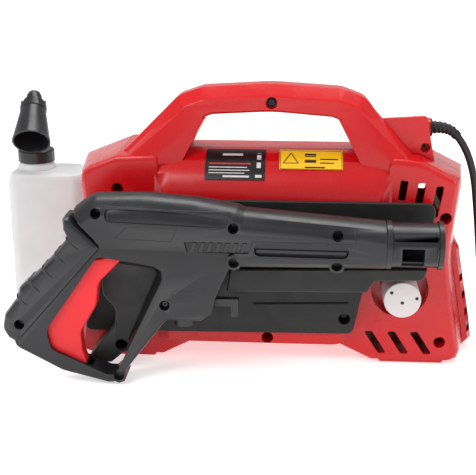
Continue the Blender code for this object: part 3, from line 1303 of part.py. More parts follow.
def cord_coil(parent):
    """The wound spare length, as one ring of the coil's outer shape."""
    half = COIL_COLUMNS * CORD_D / 2
    height = COIL_LAYERS * CORD_D
    low, high, e = COIL_MIDDLE_R - half, COIL_MIDDLE_R + half, CORD_D / 2
    ring = turned("ring", [(low, e), (low + e, 0), (high - e, 0), (high, e), (high, height - e), (high - e, height),
                           (low + e, height), (low, height - e)], (COIL_X, COIL_Y, 0), (0, 0, 1), 28, hole=True)
    return piece(ring, "cord_coil", RUBBER, parent)


def plug(parent):
    """A round mains plug with two pins, lying beside the coil."""
    x, y, z = TAIL_ROUTE[-1]
    profile = [(0, 0), (5.2, 0), (6.5, 24), (10, 26), (PLUG_R, 34), (PLUG_R, 60), (PLUG_R - 1.5, 61.5), (0, 61.5)]
    body = turned("plug", profile, (x + GAP, y, z), (1, 0, 0), 20)
    for side in (-9.5, 9.5):
        pin = turned("pin", [(0, 55), (2.4, 55), (2.4, 79), (1.4, 80.5), (0, 80.5)], (x + GAP, y + side, z), (1, 0, 0), 8)
        join(body, pin)
    return piece(body, "plug", RUBBER, parent)


# ---------------------------------------------------------------- assembly

def build_machine(root):
    front_shell(root)
    rear_shell(root)
    shell_screws(root)
    rubber_feet(root)
    holder_panel(root)
    panel_screw(root)
    labels(root)
    cord_box(root)
    side_vent_cover(root)
    inlet_connector(root)
    inlet_filter(root)
    outlet_connector(root)
    motor_can(root)
    motor_end_plate(root)
    bearings(root)
    pump_head(root)
    pressure_switch(root)
    capacitor(root)
    switch_body(root)
    inlet_cap(empty("inlet_cap_axis", root, (PORT_X, -CAP_FACE, PORT_Z)))
    switch_knob(empty("switch_axis", root, (SWITCH_X, REAR_DEPTH, SWITCH_Z)))


def build_drive(root):
    rotor = empty("rotor_axis", root, on_drive(0))
    armature(rotor)
    cooling_fan(rotor)
    swash_plate(rotor)
    starts = [empty("piston_axis_%d" % (n + 1), root, (MOTOR_RIGHT + 26, y, z))
              for n, (y, z) in enumerate(piston_places())]
    pistons(starts)


def build_gun(root):
    gun = empty("gun_axis", root, (0, GUN_Y, BORE_Z))
    gun_half(-1, gun)
    gun_half(1, gun)
    gun_screws(gun)
    trigger_pin(gun)
    valve_block(gun)
    valve_spring(gun)
    outlet_tube(gun)
    bayonet_socket(gun)
    hose_socket(gun)
    trigger(empty("trigger_axis", gun, (PIVOT_X, GUN_Y, PIVOT_Z)))
    valve_pin(gun)
    hose_clip(gun)


def build_bottle(root):
    x, y = neck_axis()
    stand = empty("bottle_axis", root, (x, y, 0))
    bottle(stand)
    head = empty("foam_head_axis", stand, (x, y, NECK_TOP))
    foam_collar(head)
    foam_nozzle(head)
    pickup_tube(head)


def build_cord(root):
    cord_gland(root)
    cord_run("cord_tube", CORD_ROUTE, root)
    cord_coil(root)
    cord_run("cord_tail", TAIL_ROUTE, root)
    plug(root)


CORD_NODES = ("cord_tube", "cord_coil", "cord_tail", "plug")


def centre_on_floor(root):
    """Puts the middle of the object, without its cord, over the origin."""
    bpy.context.view_layer.update()
    graph = bpy.context.evaluated_depsgraph_get()
    low, high = [1e9, 1e9], [-1e9, -1e9]
    for obj in bpy.data.objects:
        if obj.type != "MESH" or obj.name in CORD_NODES:
            continue
        shape = obj.evaluated_get(graph)
        for vertex in shape.data.vertices:
            place = shape.matrix_world @ vertex.co
            for axis in (0, 1):
                low[axis] = min(low[axis], place[axis])
                high[axis] = max(high[axis], place[axis])
    root.location = (-(low[0] + high[0]) / 2, -(low[1] + high[1]) / 2, 0.0)
    bpy.context.view_layer.update()


def main():
    clear_scene()
    root = empty("pressure_washer", None)
    build_machine(root)
    build_drive(root)
    build_gun(root)
    build_bottle(root)
    build_cord(root)
    centre_on_floor(root)


main()
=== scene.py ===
"""The looks of a portable pressure washer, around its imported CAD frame.

X is to the right, Y to the back and Z up. Sizes are in metres in the frame, and where a comment says so
in millimetres, from the CAD script's own origin.
"""

import json
import math

import bmesh
import bpy
from mathutils import Matrix, Vector
from mathutils.bvhtree import BVHTree


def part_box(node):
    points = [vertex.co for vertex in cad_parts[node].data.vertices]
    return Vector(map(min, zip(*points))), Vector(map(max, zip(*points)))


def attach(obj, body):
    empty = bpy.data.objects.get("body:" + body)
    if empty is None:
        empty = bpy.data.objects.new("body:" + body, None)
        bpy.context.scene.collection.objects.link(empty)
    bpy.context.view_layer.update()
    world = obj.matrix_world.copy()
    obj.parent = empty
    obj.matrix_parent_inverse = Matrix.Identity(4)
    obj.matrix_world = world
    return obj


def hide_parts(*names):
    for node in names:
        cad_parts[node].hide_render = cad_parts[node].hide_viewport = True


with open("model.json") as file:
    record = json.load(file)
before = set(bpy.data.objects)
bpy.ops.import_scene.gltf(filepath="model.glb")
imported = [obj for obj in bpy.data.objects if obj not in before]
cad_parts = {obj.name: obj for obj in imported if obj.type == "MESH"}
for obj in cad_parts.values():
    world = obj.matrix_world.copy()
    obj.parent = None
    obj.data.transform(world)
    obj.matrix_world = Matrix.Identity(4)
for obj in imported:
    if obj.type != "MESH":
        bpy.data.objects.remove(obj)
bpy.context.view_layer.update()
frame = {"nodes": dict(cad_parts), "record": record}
NODES = frame["nodes"]
BODIES = frame["record"]["behaviour"]["bodies"]
BODY_OF = {node: body for body, members in BODIES.items() for node in members}
SLOT_OF = {row["node"]: row["material_slot"] for row in frame["record"]["subparts"]}

MM = 0.001
OFFSET = Vector((43.78, -20.9, 0.0)) * MM     # from the CAD script's local axes to the frame

# Camera
VIEW_AZIMUTH = 4.0
VIEW_ELEVATION = 17.0
VIEW_DISTANCE = 1.0
VIEW_LENS = 75.63
VIEW_TARGET = Vector((-34.0, 30.0, 103.56)) * MM + OFFSET

# Light and floor
LIGHTS = (("key", (-0.8, -1.3, 1.5), (0.9, 0.7), 19.0),       # name, place, width and height, watts
          ("fill", (1.5, -1.2, 0.9), (0.9, 0.9), 7.0),
          ("top", (0.1, 0.35, 1.6), (1.3, 0.6), 17.0))
LIGHT_AIM = (0, 0, 0.1)
WORLD_STRENGTH = 0.55
FLOOR_GLOW = 0.52
FLOOR_REACH = 45
FLOOR_DROP = 0.0003                           # below the object's feet

# Surfaces
EDGE_ROUND = 0.5                              # width of a rounded edge, in millimetres
EDGE_ANGLE = 32.0                             # degrees above which an edge is rounded
MERGE = 0.00002                               # points of the CAD mesh nearer than this are one
FLAT_ANGLE = 0.3                              # degrees under which neighbouring faces are one
REPLACED = {"cord_tube", "cord_coil", "cord_tail", "cord_gland", "plug"}         # by pieces of their own
UNROUNDED = {"rating_label", "notice_label", "valve_spring", "foam_bottle", "pickup_tube"}

# Cord: routes are in the CAD script's millimetres
CORD_D = 0.007
CORD_SPACING = 0.009                          # between two points of the cord outside its coil
CORD_ROUTE = ((162.2, 28.0, 217.5), (170.5, 28.2, 214.2), (179.0, 29.0, 205.5), (187.5, 30.5, 190.5),
              (194.5, 33.0, 169.0), (199.5, 37.0, 141.0), (204.0, 41.5, 110.0), (208.5, 46.0, 76.0),
              (212.5, 50.0, 46.0), (217.0, 55.5, 22.0), (224.0, 65.0, 7.5), (233.5, 78.0, 3.7),
              (243.0, 91.5, 3.7))
TAIL_ROUTE = ((331.0, 119.0, 24.5), (345.0, 119.4, 23.5), (359.0, 120.0, 20.5), (372.0, 120.5, 18.9),
              (384.7, 120.5, 18.7))
COIL_CENTRE = Vector((302.0, 62.0, 0.0)) * MM + OFFSET
COIL_MIDDLE_R = 0.045
COIL_COLUMNS = 4
COIL_LAYERS = 4
COIL_STEPS = 36                               # points in one turn
COIL_SHIFT = 0.16                             # share of a turn in which the cord moves over by a diameter
COIL_LEAD_IN = 0.28                           # radians left for the cord to run into the coil
COIL_LEAD_OUT = 0.42                          # and out of it

# Strain relief, in metres, from a start in the CAD script's millimetres
RELIEF_START = ((149.5, 28.0, 217.9), (156.0, 28.0, 218.0))
RELIEF_SPACING = 0.0014
RELIEF_RINGS = 22
RELIEF_SIDES = 28
RELIEF_R = 0.0064
RELIEF_TAPER = 0.0020
RELIEF_GROOVE = 0.0008
FLANGE_R = 0.0086
FLANGE_RINGS = 2

# Plug, in millimetres
PLUG_GAP = 0.3                                # between the end of the cord and the plug's own start
SLEEVE_RIBS = [(4.4 + 0.08 * step + (0.0 if step % 2 else 0.55), 2.0 * step) for step in range(13)]
PLUG_PROFILE = [(0, 0), *SLEEVE_RIBS, (10, 26.5), (16.5, 33), (18.3, 36), (18.3, 42), (17.3, 43), (17.3, 46),
                (18.3, 47), (18.3, 59), (17.4, 61), (16.6, 61.5), (0, 61.5)]
PIN_PROFILE = [(0, 61), (2.4, 61), (2.4, 78), (1.9, 79.9), (0.9, 80.5), (0, 80.5)]
PIN_OFFSET = 9.5

# Marks on the gun, in the CAD script's millimetres, mostly (x, z)
GUN_Y = -89.0
GUN_FACE = GUN_Y - 21.0                       # front of the gun's barrel
BADGE = ((-131.0, 143.0), (-120.5, 153.3), (-76.5, 152.6), (-82.5, 141.2))
ARROW = ((-84.0, 90.6), (-78.6, 94.6), (-78.6, 92.5), (-63.0, 92.5), (-63.0, 88.5), (-78.6, 88.5),
         (-78.6, 86.4))
SLOT_EDGE = ((-12.0, 128.2), (71.8, 127.2), (72.0, 141.7), (-12.0, 142.8))
SLOT_RAIL = ((-9.6, 131.6), (69.4, 130.8), (69.4, 134.6), (-9.6, 135.4))
SLOT_FLOOR = ((-10.2, 130.0), (70.0, 129.0), (70.0, 139.9), (-10.2, 140.9))
BARREL_ARC = [(74.5 + 1.6 * math.sin(math.pi * step / 12), 130.0 + 1.9 * step) for step in range(13)]
RIBS = 7
RIB_LEFT = -66.0
RIB_PITCH = 7.2
RIB = ((0.0, 132.4), (3.4, 132.4), (6.0, 140.8), (2.6, 140.8))         # x is from the rib's own left
RIB_DEPTHS = (GUN_FACE + 0.7, GUN_FACE + 3.4)
RAIL_DEPTHS = (GUN_FACE + 2.4, GUN_FACE + 5.0)
SLOT_FLOOR_DEPTHS = (GUN_FACE + 4.4, GUN_FACE + 5.6)
RECESS_RIM = ((-141.0, 156.8), (-33.0, 152.6), (-31.0, 166.4), (-141.4, 171.0))
RECESS_LEFT = -138.4
RECESS_LENGTH = 104.4
RECESS_LOW, RECESS_HIGH = 157.4, 169.2        # at its left end
RECESS_LOW_FALL, RECESS_HIGH_FALL = 3.6, 4.2  # how far each has come down at its right end
RECESS_BELOW, RECESS_ABOVE = 2.0, 2.2         # from its edges to where the flank's depth is read
RECESS_DEPTH = 1.5
RECESS_T = 0.0012                             # in metres
RECESS_COLUMNS, RECESS_ROWS = 40, 8
GRIP_AXIS = Vector((-0.66, 0.0, -0.75)).normalized()
GRIP_TOP = Vector((-176.0, GUN_Y, 131.0))
BANDS = 5
BAND_PITCH = 18.0
BAND_SHIFT = Vector((6.0, 0.0, 4.0))          # from the grip's top to the middle of the first band
BAND_REACH = 112                              # degrees to either side of the grip's back
BAND_STEPS = 40
BAND_R = 1.35
BAND_SINK = 0.0006                            # in metres

# Films, crosses and dimples
FILM_T = 0.08                                 # millimetres, as all of the films' sizes
FILM_LIFT = 0.06
FILM_COLUMN = 2.5
FILM_ROW = 1.2
MARK_SPACING = 1.5                            # between two points of an embossed outline
CROSS_REACH = 0.62                            # share of the screw head's radius
CROSS_ARM = 0.26                              # half of an arm's width, as a share of the reach
CROSS_DEPTH = 0.0003                          # half of it, in metres
DIMPLES = ((-10, 7), (13, 2), (0, -2.5))      # from the middle of the cap, in millimetres
DIMPLE_PROFILE = [(0, 0), (1.5, 0), (1.5, 0.4), (1.2, 0.6), (0, 0.6)]
DIMPLE_SINK = 0.0006                          # in metres
DARK_BARS = ((0.28, 0.83, 0.62, 0.89), (0.06, 0.56, 0.76, 0.60), (0.06, 0.44, 0.70, 0.47),
             (0.06, 0.34, 0.74, 0.37), (0.06, 0.24, 0.66, 0.27), (0.30, 0.10, 0.74, 0.17),
             (0.86, 0.72, 0.93, 0.90), (0.86, 0.44, 0.93, 0.62), (0.84, 0.10, 0.95, 0.20))
YELLOW_BARS = ((0.40, 0.70, 0.58, 0.86), (0.64, 0.56, 0.92, 0.62), (0.40, 0.40, 0.58, 0.56),
               (0.64, 0.36, 0.86, 0.42), (0.40, 0.10, 0.72, 0.18))
TRIANGLE = (0.06, 0.36, 0.30, 0.88)           # shares of the label: left, low, right, high, as in the bars
NOTICE_RIM = (0.015, 0.04, 0.985, 0.96)


# ---------------------------------------------------------------- materials

def new_material(name):
    material = bpy.data.materials.new(name)
    material.use_nodes = True
    tree = material.node_tree
    shader = tree.nodes["Principled BSDF"]
    return material, tree, shader


def node_of(tree, kind, **values):
    """A node with some of its settings or inputs filled in."""
    made = tree.nodes.new(kind)
    for key, value in values.items():
        if hasattr(made, key):
            setattr(made, key, value)
        else:
            made.inputs[key.replace("_", " ")].default_value = value
    return made


def noise(tree, scale, detail=3.0, roughness=0.5):
    place = tree.nodes.get("Texture Coordinate") or tree.nodes.new("ShaderNodeTexCoord")
    made = node_of(tree, "ShaderNodeTexNoise", Scale=scale, Detail=detail, Roughness=roughness)
    tree.links.new(place.outputs["Object"], made.inputs["Vector"])
    return made.outputs["Fac"]


def ramp(tree, source, low, high, start=0.35, end=0.65):
    """A colour or grey that goes from low to high as source goes from start to end."""
    made = tree.nodes.new("ShaderNodeValToRGB")
    made.color_ramp.elements[0].position = start
    made.color_ramp.elements[1].position = end
    for element, value in zip(made.color_ramp.elements, (low, high)):
        element.color = (*value, 1.0) if hasattr(value, "__len__") else (value, value, value, 1.0)
    tree.links.new(source, made.inputs["Fac"])
    return made.outputs["Color"]


def lighter(colour, share):
    """The colour multiplied up, so that a dark one stays dark."""
    return tuple(min(1.0, channel * (1.0 + share)) for channel in colour)


def greyer(colour, share):
    """The tone of a lightened edge, a painted edge highlight with some rubbed wear: a share of the way to
    white.
    """
    return tuple(channel + (1.0 - channel) * share for channel in colour)


def darker(colour, share):
    return tuple(channel * (1.0 - share) for channel in colour)


def edges_lit_and_rubbed(tree, colour_socket, lit_and_rubbed_colour, strength):
    """Lightens the convex edges a little: a painted edge highlight, and wear where hands and shelves have
    rubbed them.
    """
    geometry = tree.nodes.new("ShaderNodeNewGeometry")
    amount = ramp(tree, geometry.outputs["Pointiness"], 0.0, strength, 0.52, 0.62)
    mix = node_of(tree, "ShaderNodeMix", data_type="RGBA")
    tree.links.new(amount, mix.inputs["Factor"])
    tree.links.new(colour_socket, mix.inputs["A"])
    mix.inputs["B"].default_value = (*lit_and_rubbed_colour, 1.0)
    return mix.outputs["Result"]


def moulded(name, colour, roughness, texture, texture_size, coat, edge, tint=0.06):
    """Moulded plastic: faint colour drift, uneven gloss, a fine grain, and convex edges lightened as a
    painted edge highlight with rubbed wear.
    """
    material, tree, shader = new_material(name)
    drift = ramp(tree, noise(tree, 9.0), darker(colour, tint), lighter(colour, tint * 0.5))
    # lighter convex edges: a painted edge highlight, partly rubbed wear
    lit_and_rubbed = edges_lit_and_rubbed(tree, drift, greyer(colour, 0.25), edge)
    tree.links.new(lit_and_rubbed, shader.inputs["Base Color"])
    gloss = ramp(tree, noise(tree, 60.0, 4.0), roughness * 0.88, min(1.0, roughness * 1.14))
    tree.links.new(gloss, shader.inputs["Roughness"])
    bump = node_of(tree, "ShaderNodeBump", Strength=texture, Distance=0.0004)
    tree.links.new(noise(tree, texture_size, 2.0), bump.inputs["Height"])
    tree.links.new(bump.outputs["Normal"], shader.inputs["Normal"])
    shader.inputs["Coat Weight"].default_value = coat
    shader.inputs["Specular IOR Level"].default_value = 0.36
    shader.inputs["Coat Roughness"].default_value = 0.18
    return material


def metal(name, colour, roughness, grain=(40.0, 900.0, 900.0), strength=0.08):
    """Turned or cast metal, with fine marks along one way."""
    material, tree, shader = new_material(name)
    place = tree.nodes.new("ShaderNodeTexCoord")
    stretch = tree.nodes.new("ShaderNodeMapping")
    stretch.inputs["Scale"].default_value = grain
    marks = node_of(tree, "ShaderNodeTexNoise", Scale=1.0, Detail=4.0)
    tree.links.new(place.outputs["Object"], stretch.inputs["Vector"])
    tree.links.new(stretch.outputs["Vector"], marks.inputs["Vector"])
    tone = ramp(tree, marks.outputs["Fac"], darker(colour, 0.18), lighter(colour, 0.08))
    tree.links.new(tone, shader.inputs["Base Color"])
    gloss = ramp(tree, marks.outputs["Fac"], roughness * 0.75, min(1.0, roughness * 1.3))
    tree.links.new(gloss, shader.inputs["Roughness"])
    bump = node_of(tree, "ShaderNodeBump", Strength=strength, Distance=0.0002)
    tree.links.new(marks.outputs["Fac"], bump.inputs["Height"])
    tree.links.new(bump.outputs["Normal"], shader.inputs["Normal"])
    shader.inputs["Metallic"].default_value = 1.0
    return material


def milky(name):
    """Blow-moulded translucent plastic, slightly cloudy, with a soft waviness."""
    material, tree, shader = new_material(name)
    cloud = ramp(tree, noise(tree, 14.0, 3.0), (0.80, 0.82, 0.83), (0.93, 0.94, 0.94), 0.3, 0.7)
    tree.links.new(cloud, shader.inputs["Base Color"])
    gloss = ramp(tree, noise(tree, 45.0), 0.30, 0.42)
    tree.links.new(gloss, shader.inputs["Roughness"])
    bump = node_of(tree, "ShaderNodeBump", Strength=0.12, Distance=0.001)
    tree.links.new(noise(tree, 38.0, 2.0), bump.inputs["Height"])
    tree.links.new(bump.outputs["Normal"], shader.inputs["Normal"])
    shader.inputs["Transmission Weight"].default_value = 0.28
    shader.inputs["Subsurface Weight"].default_value = 0.5
    shader.inputs["Subsurface Radius"].default_value = (0.012, 0.012, 0.012)
    shader.inputs["Subsurface Scale"].default_value = 1.0
    return material


def floor_paint():
    material, tree, shader = new_material("floor_paint")
    tone = ramp(tree, noise(tree, 3.0), (0.90, 0.90, 0.90), (0.93, 0.93, 0.93))
    tree.links.new(tone, shader.inputs["Base Color"])
    shader.inputs["Roughness"].default_value = 0.8
    shader.inputs["Emission Color"].default_value = (1.0, 1.0, 1.0, 1.0)
    shader.inputs["Emission Strength"].default_value = FLOOR_GLOW
    return material


# edge: how much the convex edges are lightened, a painted edge highlight with rubbed wear
MATERIALS = {
    "red_shell": moulded("red_gloss", (0.52, 0.003, 0.006), roughness=0.26, texture=0.012,
                         texture_size=1300.0, coat=0.14, edge=0.03, tint=0.04),
    "black_plastic": moulded("black_satin", (0.010, 0.0102, 0.012), roughness=0.33, texture=0.08,
                             texture_size=1400.0, coat=0.06, edge=0.08, tint=0.2),
    "charcoal_plastic": moulded("charcoal_matte", (0.0095, 0.0095, 0.009), roughness=0.50, texture=0.16,
                                texture_size=1200.0, coat=0.0, edge=0.08, tint=0.2),
    "trigger_red": moulded("trigger_red", (0.66, 0.010, 0.016), roughness=0.42, texture=0.06,
                           texture_size=1100.0, coat=0.05, edge=0.10),
    "light_grey": moulded("light_grey", (0.60, 0.55, 0.55), roughness=0.42, texture=0.05,
                          texture_size=1200.0, coat=0.0, edge=0.05, tint=0.04),
    "milky_plastic": milky("milky_plastic"),
    "label_black": moulded("label_film", (0.006, 0.006, 0.007), roughness=0.30, texture=0.02,
                           texture_size=2000.0, coat=0.05, edge=0.0),
    "label_yellow": moulded("notice_film", (0.85, 0.50, 0.008), roughness=0.36, texture=0.02,
                            texture_size=2000.0, coat=0.05, edge=0.0),
    "cord_rubber": moulded("soft_rubber", (0.010, 0.010, 0.011), roughness=0.50, texture=0.12,
                           texture_size=1800.0, coat=0.0, edge=0.05),
    "steel": metal("turned_steel", (0.52, 0.53, 0.55), roughness=0.30),
    "screw_steel": metal("dark_zinc", (0.05, 0.05, 0.055), roughness=0.38),
    "alloy": metal("die_cast", (0.60, 0.61, 0.63), roughness=0.42, grain=(300.0, 300.0, 300.0),
                   strength=0.15),
    "brass": metal("turned_brass", (0.72, 0.50, 0.20), roughness=0.28),
    "rotor_copper": metal("copper_winding", (0.72, 0.32, 0.16), roughness=0.36, grain=(60.0, 1200.0, 1200.0),
                          strength=0.3),
}


# ---------------------------------------------------------------- pieces

def new_object(name, data):
    obj = bpy.data.objects.new(name, data)
    bpy.context.scene.collection.objects.link(obj)
    return obj


def finish_piece(obj, body, slot, *replaced):
    """Gives a piece its material and its body, and hides the CAD nodes that it stands for."""
    obj.data.materials.clear()
    obj.data.materials.append(MATERIALS[slot])
    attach(obj, body)
    if replaced:
        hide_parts(*replaced)
    return obj


def smooth_above(obj, angle):
    """Smooth shading, with the edges over angle degrees kept sharp."""
    obj.data.shade_smooth()
    obj.data.set_sharp_from_angle(angle=math.radians(angle))


def refine(node, width):
    """The node's own shape with its edges rounded by width, in millimetres, and its round faces smooth."""
    mesh = NODES[node].data.copy()
    work = bmesh.new()
    work.from_mesh(mesh)
    bmesh.ops.remove_doubles(work, verts=work.verts, dist=MERGE)
    bmesh.ops.dissolve_limit(work, angle_limit=math.radians(FLAT_ANGLE), verts=work.verts, edges=work.edges)
    for face in work.faces:
        face.smooth = True
    work.to_mesh(mesh)
    work.free()
    obj = new_object(node + "_surface", mesh)
    if width:
        bevel = obj.modifiers.new("rounded edges", "BEVEL")
        bevel.limit_method = "ANGLE"
        bevel.angle_limit = math.radians(EDGE_ANGLE)
        bevel.width = width * MM
        bevel.segments = 2
        bevel.use_clamp_overlap = True
    else:
        mesh.set_sharp_from_angle(angle=math.radians(EDGE_ANGLE))
    normals = obj.modifiers.new("normals", "WEIGHTED_NORMAL")
    normals.keep_sharp = True
    finish_piece(obj, BODY_OF[node], SLOT_OF[node], node)


def object_from(work, name):
    """Turns a bmesh into an object, its faces pointing out."""
    mesh = bpy.data.meshes.new(name)
    bmesh.ops.recalc_face_normals(work, faces=work.faces)
    work.to_mesh(mesh)
    work.free()
    return new_object(name, mesh)


def turned(name, profile, place, steps):
    """A closed profile of (radius, height) points in millimetres, turned round the local Z axis."""
    work = bmesh.new()
    verts = [work.verts.new((radius * MM, 0.0, height * MM)) for radius, height in profile]
    edges = [work.edges.new((a, b)) for a, b in zip(verts, verts[1:] + verts[:1])
             if not (a.co.x < 1e-7 and b.co.x < 1e-7)]
    bmesh.ops.spin(work, geom=verts + edges, cent=(0, 0, 0), axis=(0, 0, 1), angle=math.tau, steps=steps,
                   use_merge=True)
    bmesh.ops.remove_doubles(work, verts=work.verts, dist=1e-6)
    obj = object_from(work, name)
    obj.data.transform(place)
    smooth_above(obj, 35)
    return obj


def tube(name, places, radius, resolution, closed=False):
    """A round curve of a radius in metres through places."""
    curve = bpy.data.curves.new(name, "CURVE")
    curve.dimensions = "3D"
    curve.bevel_depth = radius
    curve.bevel_resolution = resolution
    curve.use_fill_caps = not closed
    spline = curve.splines.new("POLY")
    spline.points.add(len(places) - 1)
    spline.use_cyclic_u = closed
    for point, place in zip(spline.points, places):
        point.co = (*place, 1.0)
    return new_object(name, curve)


def sheet(name, grid, thickness):
    """Faces between the lines of a grid of points, made solid by thickness metres towards the back."""
    work = bmesh.new()
    lines = [[work.verts.new(place) for place in line] for line in grid]
    for low, high in zip(lines, lines[1:]):
        for k in range(len(low) - 1):
            work.faces.new((low[k], low[k + 1], high[k + 1], high[k]))
    made = bmesh.ops.extrude_face_region(work, geom=work.faces[:])
    moved = [item for item in made["geom"] if isinstance(item, bmesh.types.BMVert)]
    bmesh.ops.translate(work, verts=moved, vec=(0, thickness, 0))
    obj = object_from(work, name)
    smooth_above(obj, 40)
    return obj


def at(point, axis=(0, 0, 1)):
    """A transform that puts local +Z along axis at a point given in the CAD script's millimetres."""
    turn = Vector((0, 0, 1)).rotation_difference(Vector(axis)).to_matrix().to_4x4()
    return Matrix.Translation(Vector(point) * MM + OFFSET) @ turn


# ---------------------------------------------------------------- cord

def smooth_route(points, spacing):
    """Evenly spaced points on a Catmull-Rom curve through the route."""
    route = [2 * points[0] - points[1], *points, 2 * points[-1] - points[-2]]
    fineness = 24
    fine = []
    for index in range(1, len(route) - 2):
        a, b, c, d = route[index - 1:index + 3]
        for step in range(fineness):
            t = step / fineness
            fine.append(0.5 * (2 * b + (c - a) * t + (2 * a - 5 * b + 4 * c - d) * t * t
                               + (3 * b - a - 3 * c + d) * t ** 3))
    fine.append(route[-2])
    total = sum((b - a).length for a, b in zip(fine, fine[1:]))
    count = max(2, round(total / spacing))
    spaced, walked = [fine[0]], 0.0
    for a, b in zip(fine, fine[1:]):
        step = (b - a).length
        while walked + step >= total / count * len(spaced) and len(spaced) < count:
            spaced.append(a.lerp(b, (total / count * len(spaced) - walked) / step))
        walked += step
    return [*spaced, fine[-1]]


def turn_place(turn):
    """Radius and height of one turn: each layer runs inwards or outwards in its turn, from the floor up."""
    layer, column = divmod(turn, COIL_COLUMNS)
    if layer % 2:
        column = COIL_COLUMNS - 1 - column
    radius = COIL_MIDDLE_R + ((COIL_COLUMNS - 1) / 2 - column) * CORD_D
    return radius, (layer + 0.5) * CORD_D


def coil_points(enters, leaves):
    """The turns, clockwise from above, from the angle where the cord enters to the one where it leaves."""
    span = (enters - leaves) % math.tau
    turns = COIL_COLUMNS * COIL_LAYERS - 1
    total = turns * math.tau + span
    count = round(total / math.tau * COIL_STEPS)
    points = []
    for step in range(2, count - 1):
        gone = total * step / count
        turn, part = divmod(gone / math.tau, 1.0)
        radius, height = turn_place(int(turn))
        after = turn_place(min(int(turn) + 1, COIL_COLUMNS * COIL_LAYERS - 1))
        t = max(0.0, (part - 1.0 + COIL_SHIFT) / COIL_SHIFT)
        t = t * t * (3 - 2 * t)
        radius += (after[0] - radius) * t
        height += (after[1] - height) * t
        angle = enters - gone
        points.append(COIL_CENTRE + Vector((radius * math.cos(angle), radius * math.sin(angle), height)))
    return points


def in_frame(route):
    return [Vector(point) * MM + OFFSET for point in route]


def cord_points():
    """The lead, the coil's turns and the tail, joined by two smooth runs."""
    lead, tail = in_frame(CORD_ROUTE), in_frame(TAIL_ROUTE)
    arrive, depart = lead[-1] - COIL_CENTRE, tail[0] - COIL_CENTRE
    turns = coil_points(math.atan2(arrive.y, arrive.x) - COIL_LEAD_IN,
                        math.atan2(depart.y, depart.x) + COIL_LEAD_OUT)
    run_in = smooth_route(lead + turns[:1], CORD_SPACING)
    run_out = smooth_route([turns[-1]] + tail, CORD_SPACING)
    return run_in[:-1] + turns + run_out[1:]


def mains_cord(with_pieces):
    """The whole cord as one curve, from the strain relief to the plug."""
    points = cord_points()
    obj = tube("mains_cord", points, CORD_D / 2, 4)
    finish_piece(obj, "machine", "cord_rubber", "cord_tube", "cord_coil", "cord_tail")


def strain_relief():
    """The flange on the cord box and a ribbed sleeve that thins along the first bend of the cord."""
    path = smooth_route(in_frame([*RELIEF_START, *CORD_ROUTE[:4]]), RELIEF_SPACING)
    side = Vector((0, 1, 0))
    angles = [math.tau * k / RELIEF_SIDES for k in range(RELIEF_SIDES)]
    work = bmesh.new()
    rings = []
    for index, centre in enumerate(path[:RELIEF_RINGS]):
        heading = (path[index + 1] - path[max(0, index - 1)]).normalized()
        up = heading.cross(side).normalized()
        radius = RELIEF_R - RELIEF_TAPER * (index / (RELIEF_RINGS - 1))
        if index < FLANGE_RINGS:
            radius = FLANGE_R
        elif index % 3 == 2 and index < RELIEF_RINGS - 2:
            radius -= RELIEF_GROOVE
        rings.append([work.verts.new(centre + radius * (math.cos(angle) * side + math.sin(angle) * up))
                      for angle in angles])
    for low, high in zip(rings, rings[1:]):
        for k in range(RELIEF_SIDES):
            work.faces.new((low[k], low[k - 1], high[k - 1], high[k]))
    work.faces.new(rings[0])
    work.faces.new(list(reversed(rings[-1])))
    sleeve = object_from(work, "strain_relief")
    smooth_above(sleeve, 38)
    finish_piece(sleeve, "machine", "cord_rubber", "cord_gland")


def mains_plug():
    """A moulded plug with a finger grip, its tapered cord sleeve and two pins."""
    x, y, z = TAIL_ROUTE[-1]
    body = turned("plug_body", PLUG_PROFILE, at((x + PLUG_GAP, y, z), (1, 0, 0)), 56)
    finish_piece(body, "machine", "cord_rubber", "plug")
    pins = []
    for number, side in enumerate((-PIN_OFFSET, PIN_OFFSET)):
        pin = turned("plug_pin_%d" % number, PIN_PROFILE, at((x + PLUG_GAP, y + side, z), (1, 0, 0)), 28)
        pins.append(finish_piece(pin, "machine", "steel"))
    return [body, *pins]


# ---------------------------------------------------------------- stage

def camera():
    data = bpy.data.cameras.new("camera")
    data.lens = VIEW_LENS
    data.sensor_width = 36.0
    data.clip_end = 200.0
    obj = new_object("camera", data)
    turn, rise = math.radians(VIEW_AZIMUTH), math.radians(VIEW_ELEVATION)
    back = Vector((math.sin(turn) * math.cos(rise), -math.cos(turn) * math.cos(rise), math.sin(rise)))
    obj.location = VIEW_TARGET + VIEW_DISTANCE * back
    obj.rotation_euler = back.to_track_quat("Z", "Y").to_euler()
    bpy.context.scene.camera = obj


def softbox(name, place, size, power):
    data = bpy.data.lights.new(name, "AREA")
    data.shape = "RECTANGLE"
    data.size, data.size_y = size
    data.energy = power
    obj = new_object(name, data)
    obj.location = place
    obj.rotation_euler = (Vector(place) - Vector(LIGHT_AIM)).to_track_quat("Z", "Y").to_euler()


def studio():
    """Three softboxes in a white room, over a white floor."""
    bpy.context.scene.view_settings.view_transform = "Standard"
    world = bpy.data.worlds.new("studio")
    bpy.context.scene.world = world
    world.use_nodes = True
    background = world.node_tree.nodes["Background"]
    background.inputs["Color"].default_value = (1.0, 1.0, 1.0, 1.0)
    background.inputs["Strength"].default_value = WORLD_STRENGTH
    for light in LIGHTS:
        softbox(*light)
    work = bmesh.new()
    corners = [work.verts.new((x * FLOOR_REACH, y * FLOOR_REACH, -FLOOR_DROP))
               for x, y in ((-1, -1), (1, -1), (1, 1), (-1, 1))]
    work.faces.new(corners)
    floor = object_from(work, "floor")
    floor.data.materials.append(floor_paint())


# ---------------------------------------------------------------- details

def surface_of(*names):
    """A tree to find the finished surface of one or more pieces from outside."""
    graph = bpy.context.evaluated_depsgraph_get()
    verts, faces = [], []
    for name in names:
        mesh = bpy.data.objects[name].evaluated_get(graph).data
        first = len(verts)
        verts += [vertex.co.copy() for vertex in mesh.vertices]
        faces += [[first + index for index in face.vertices] for face in mesh.polygons]
    return BVHTree.FromPolygons(verts, faces)


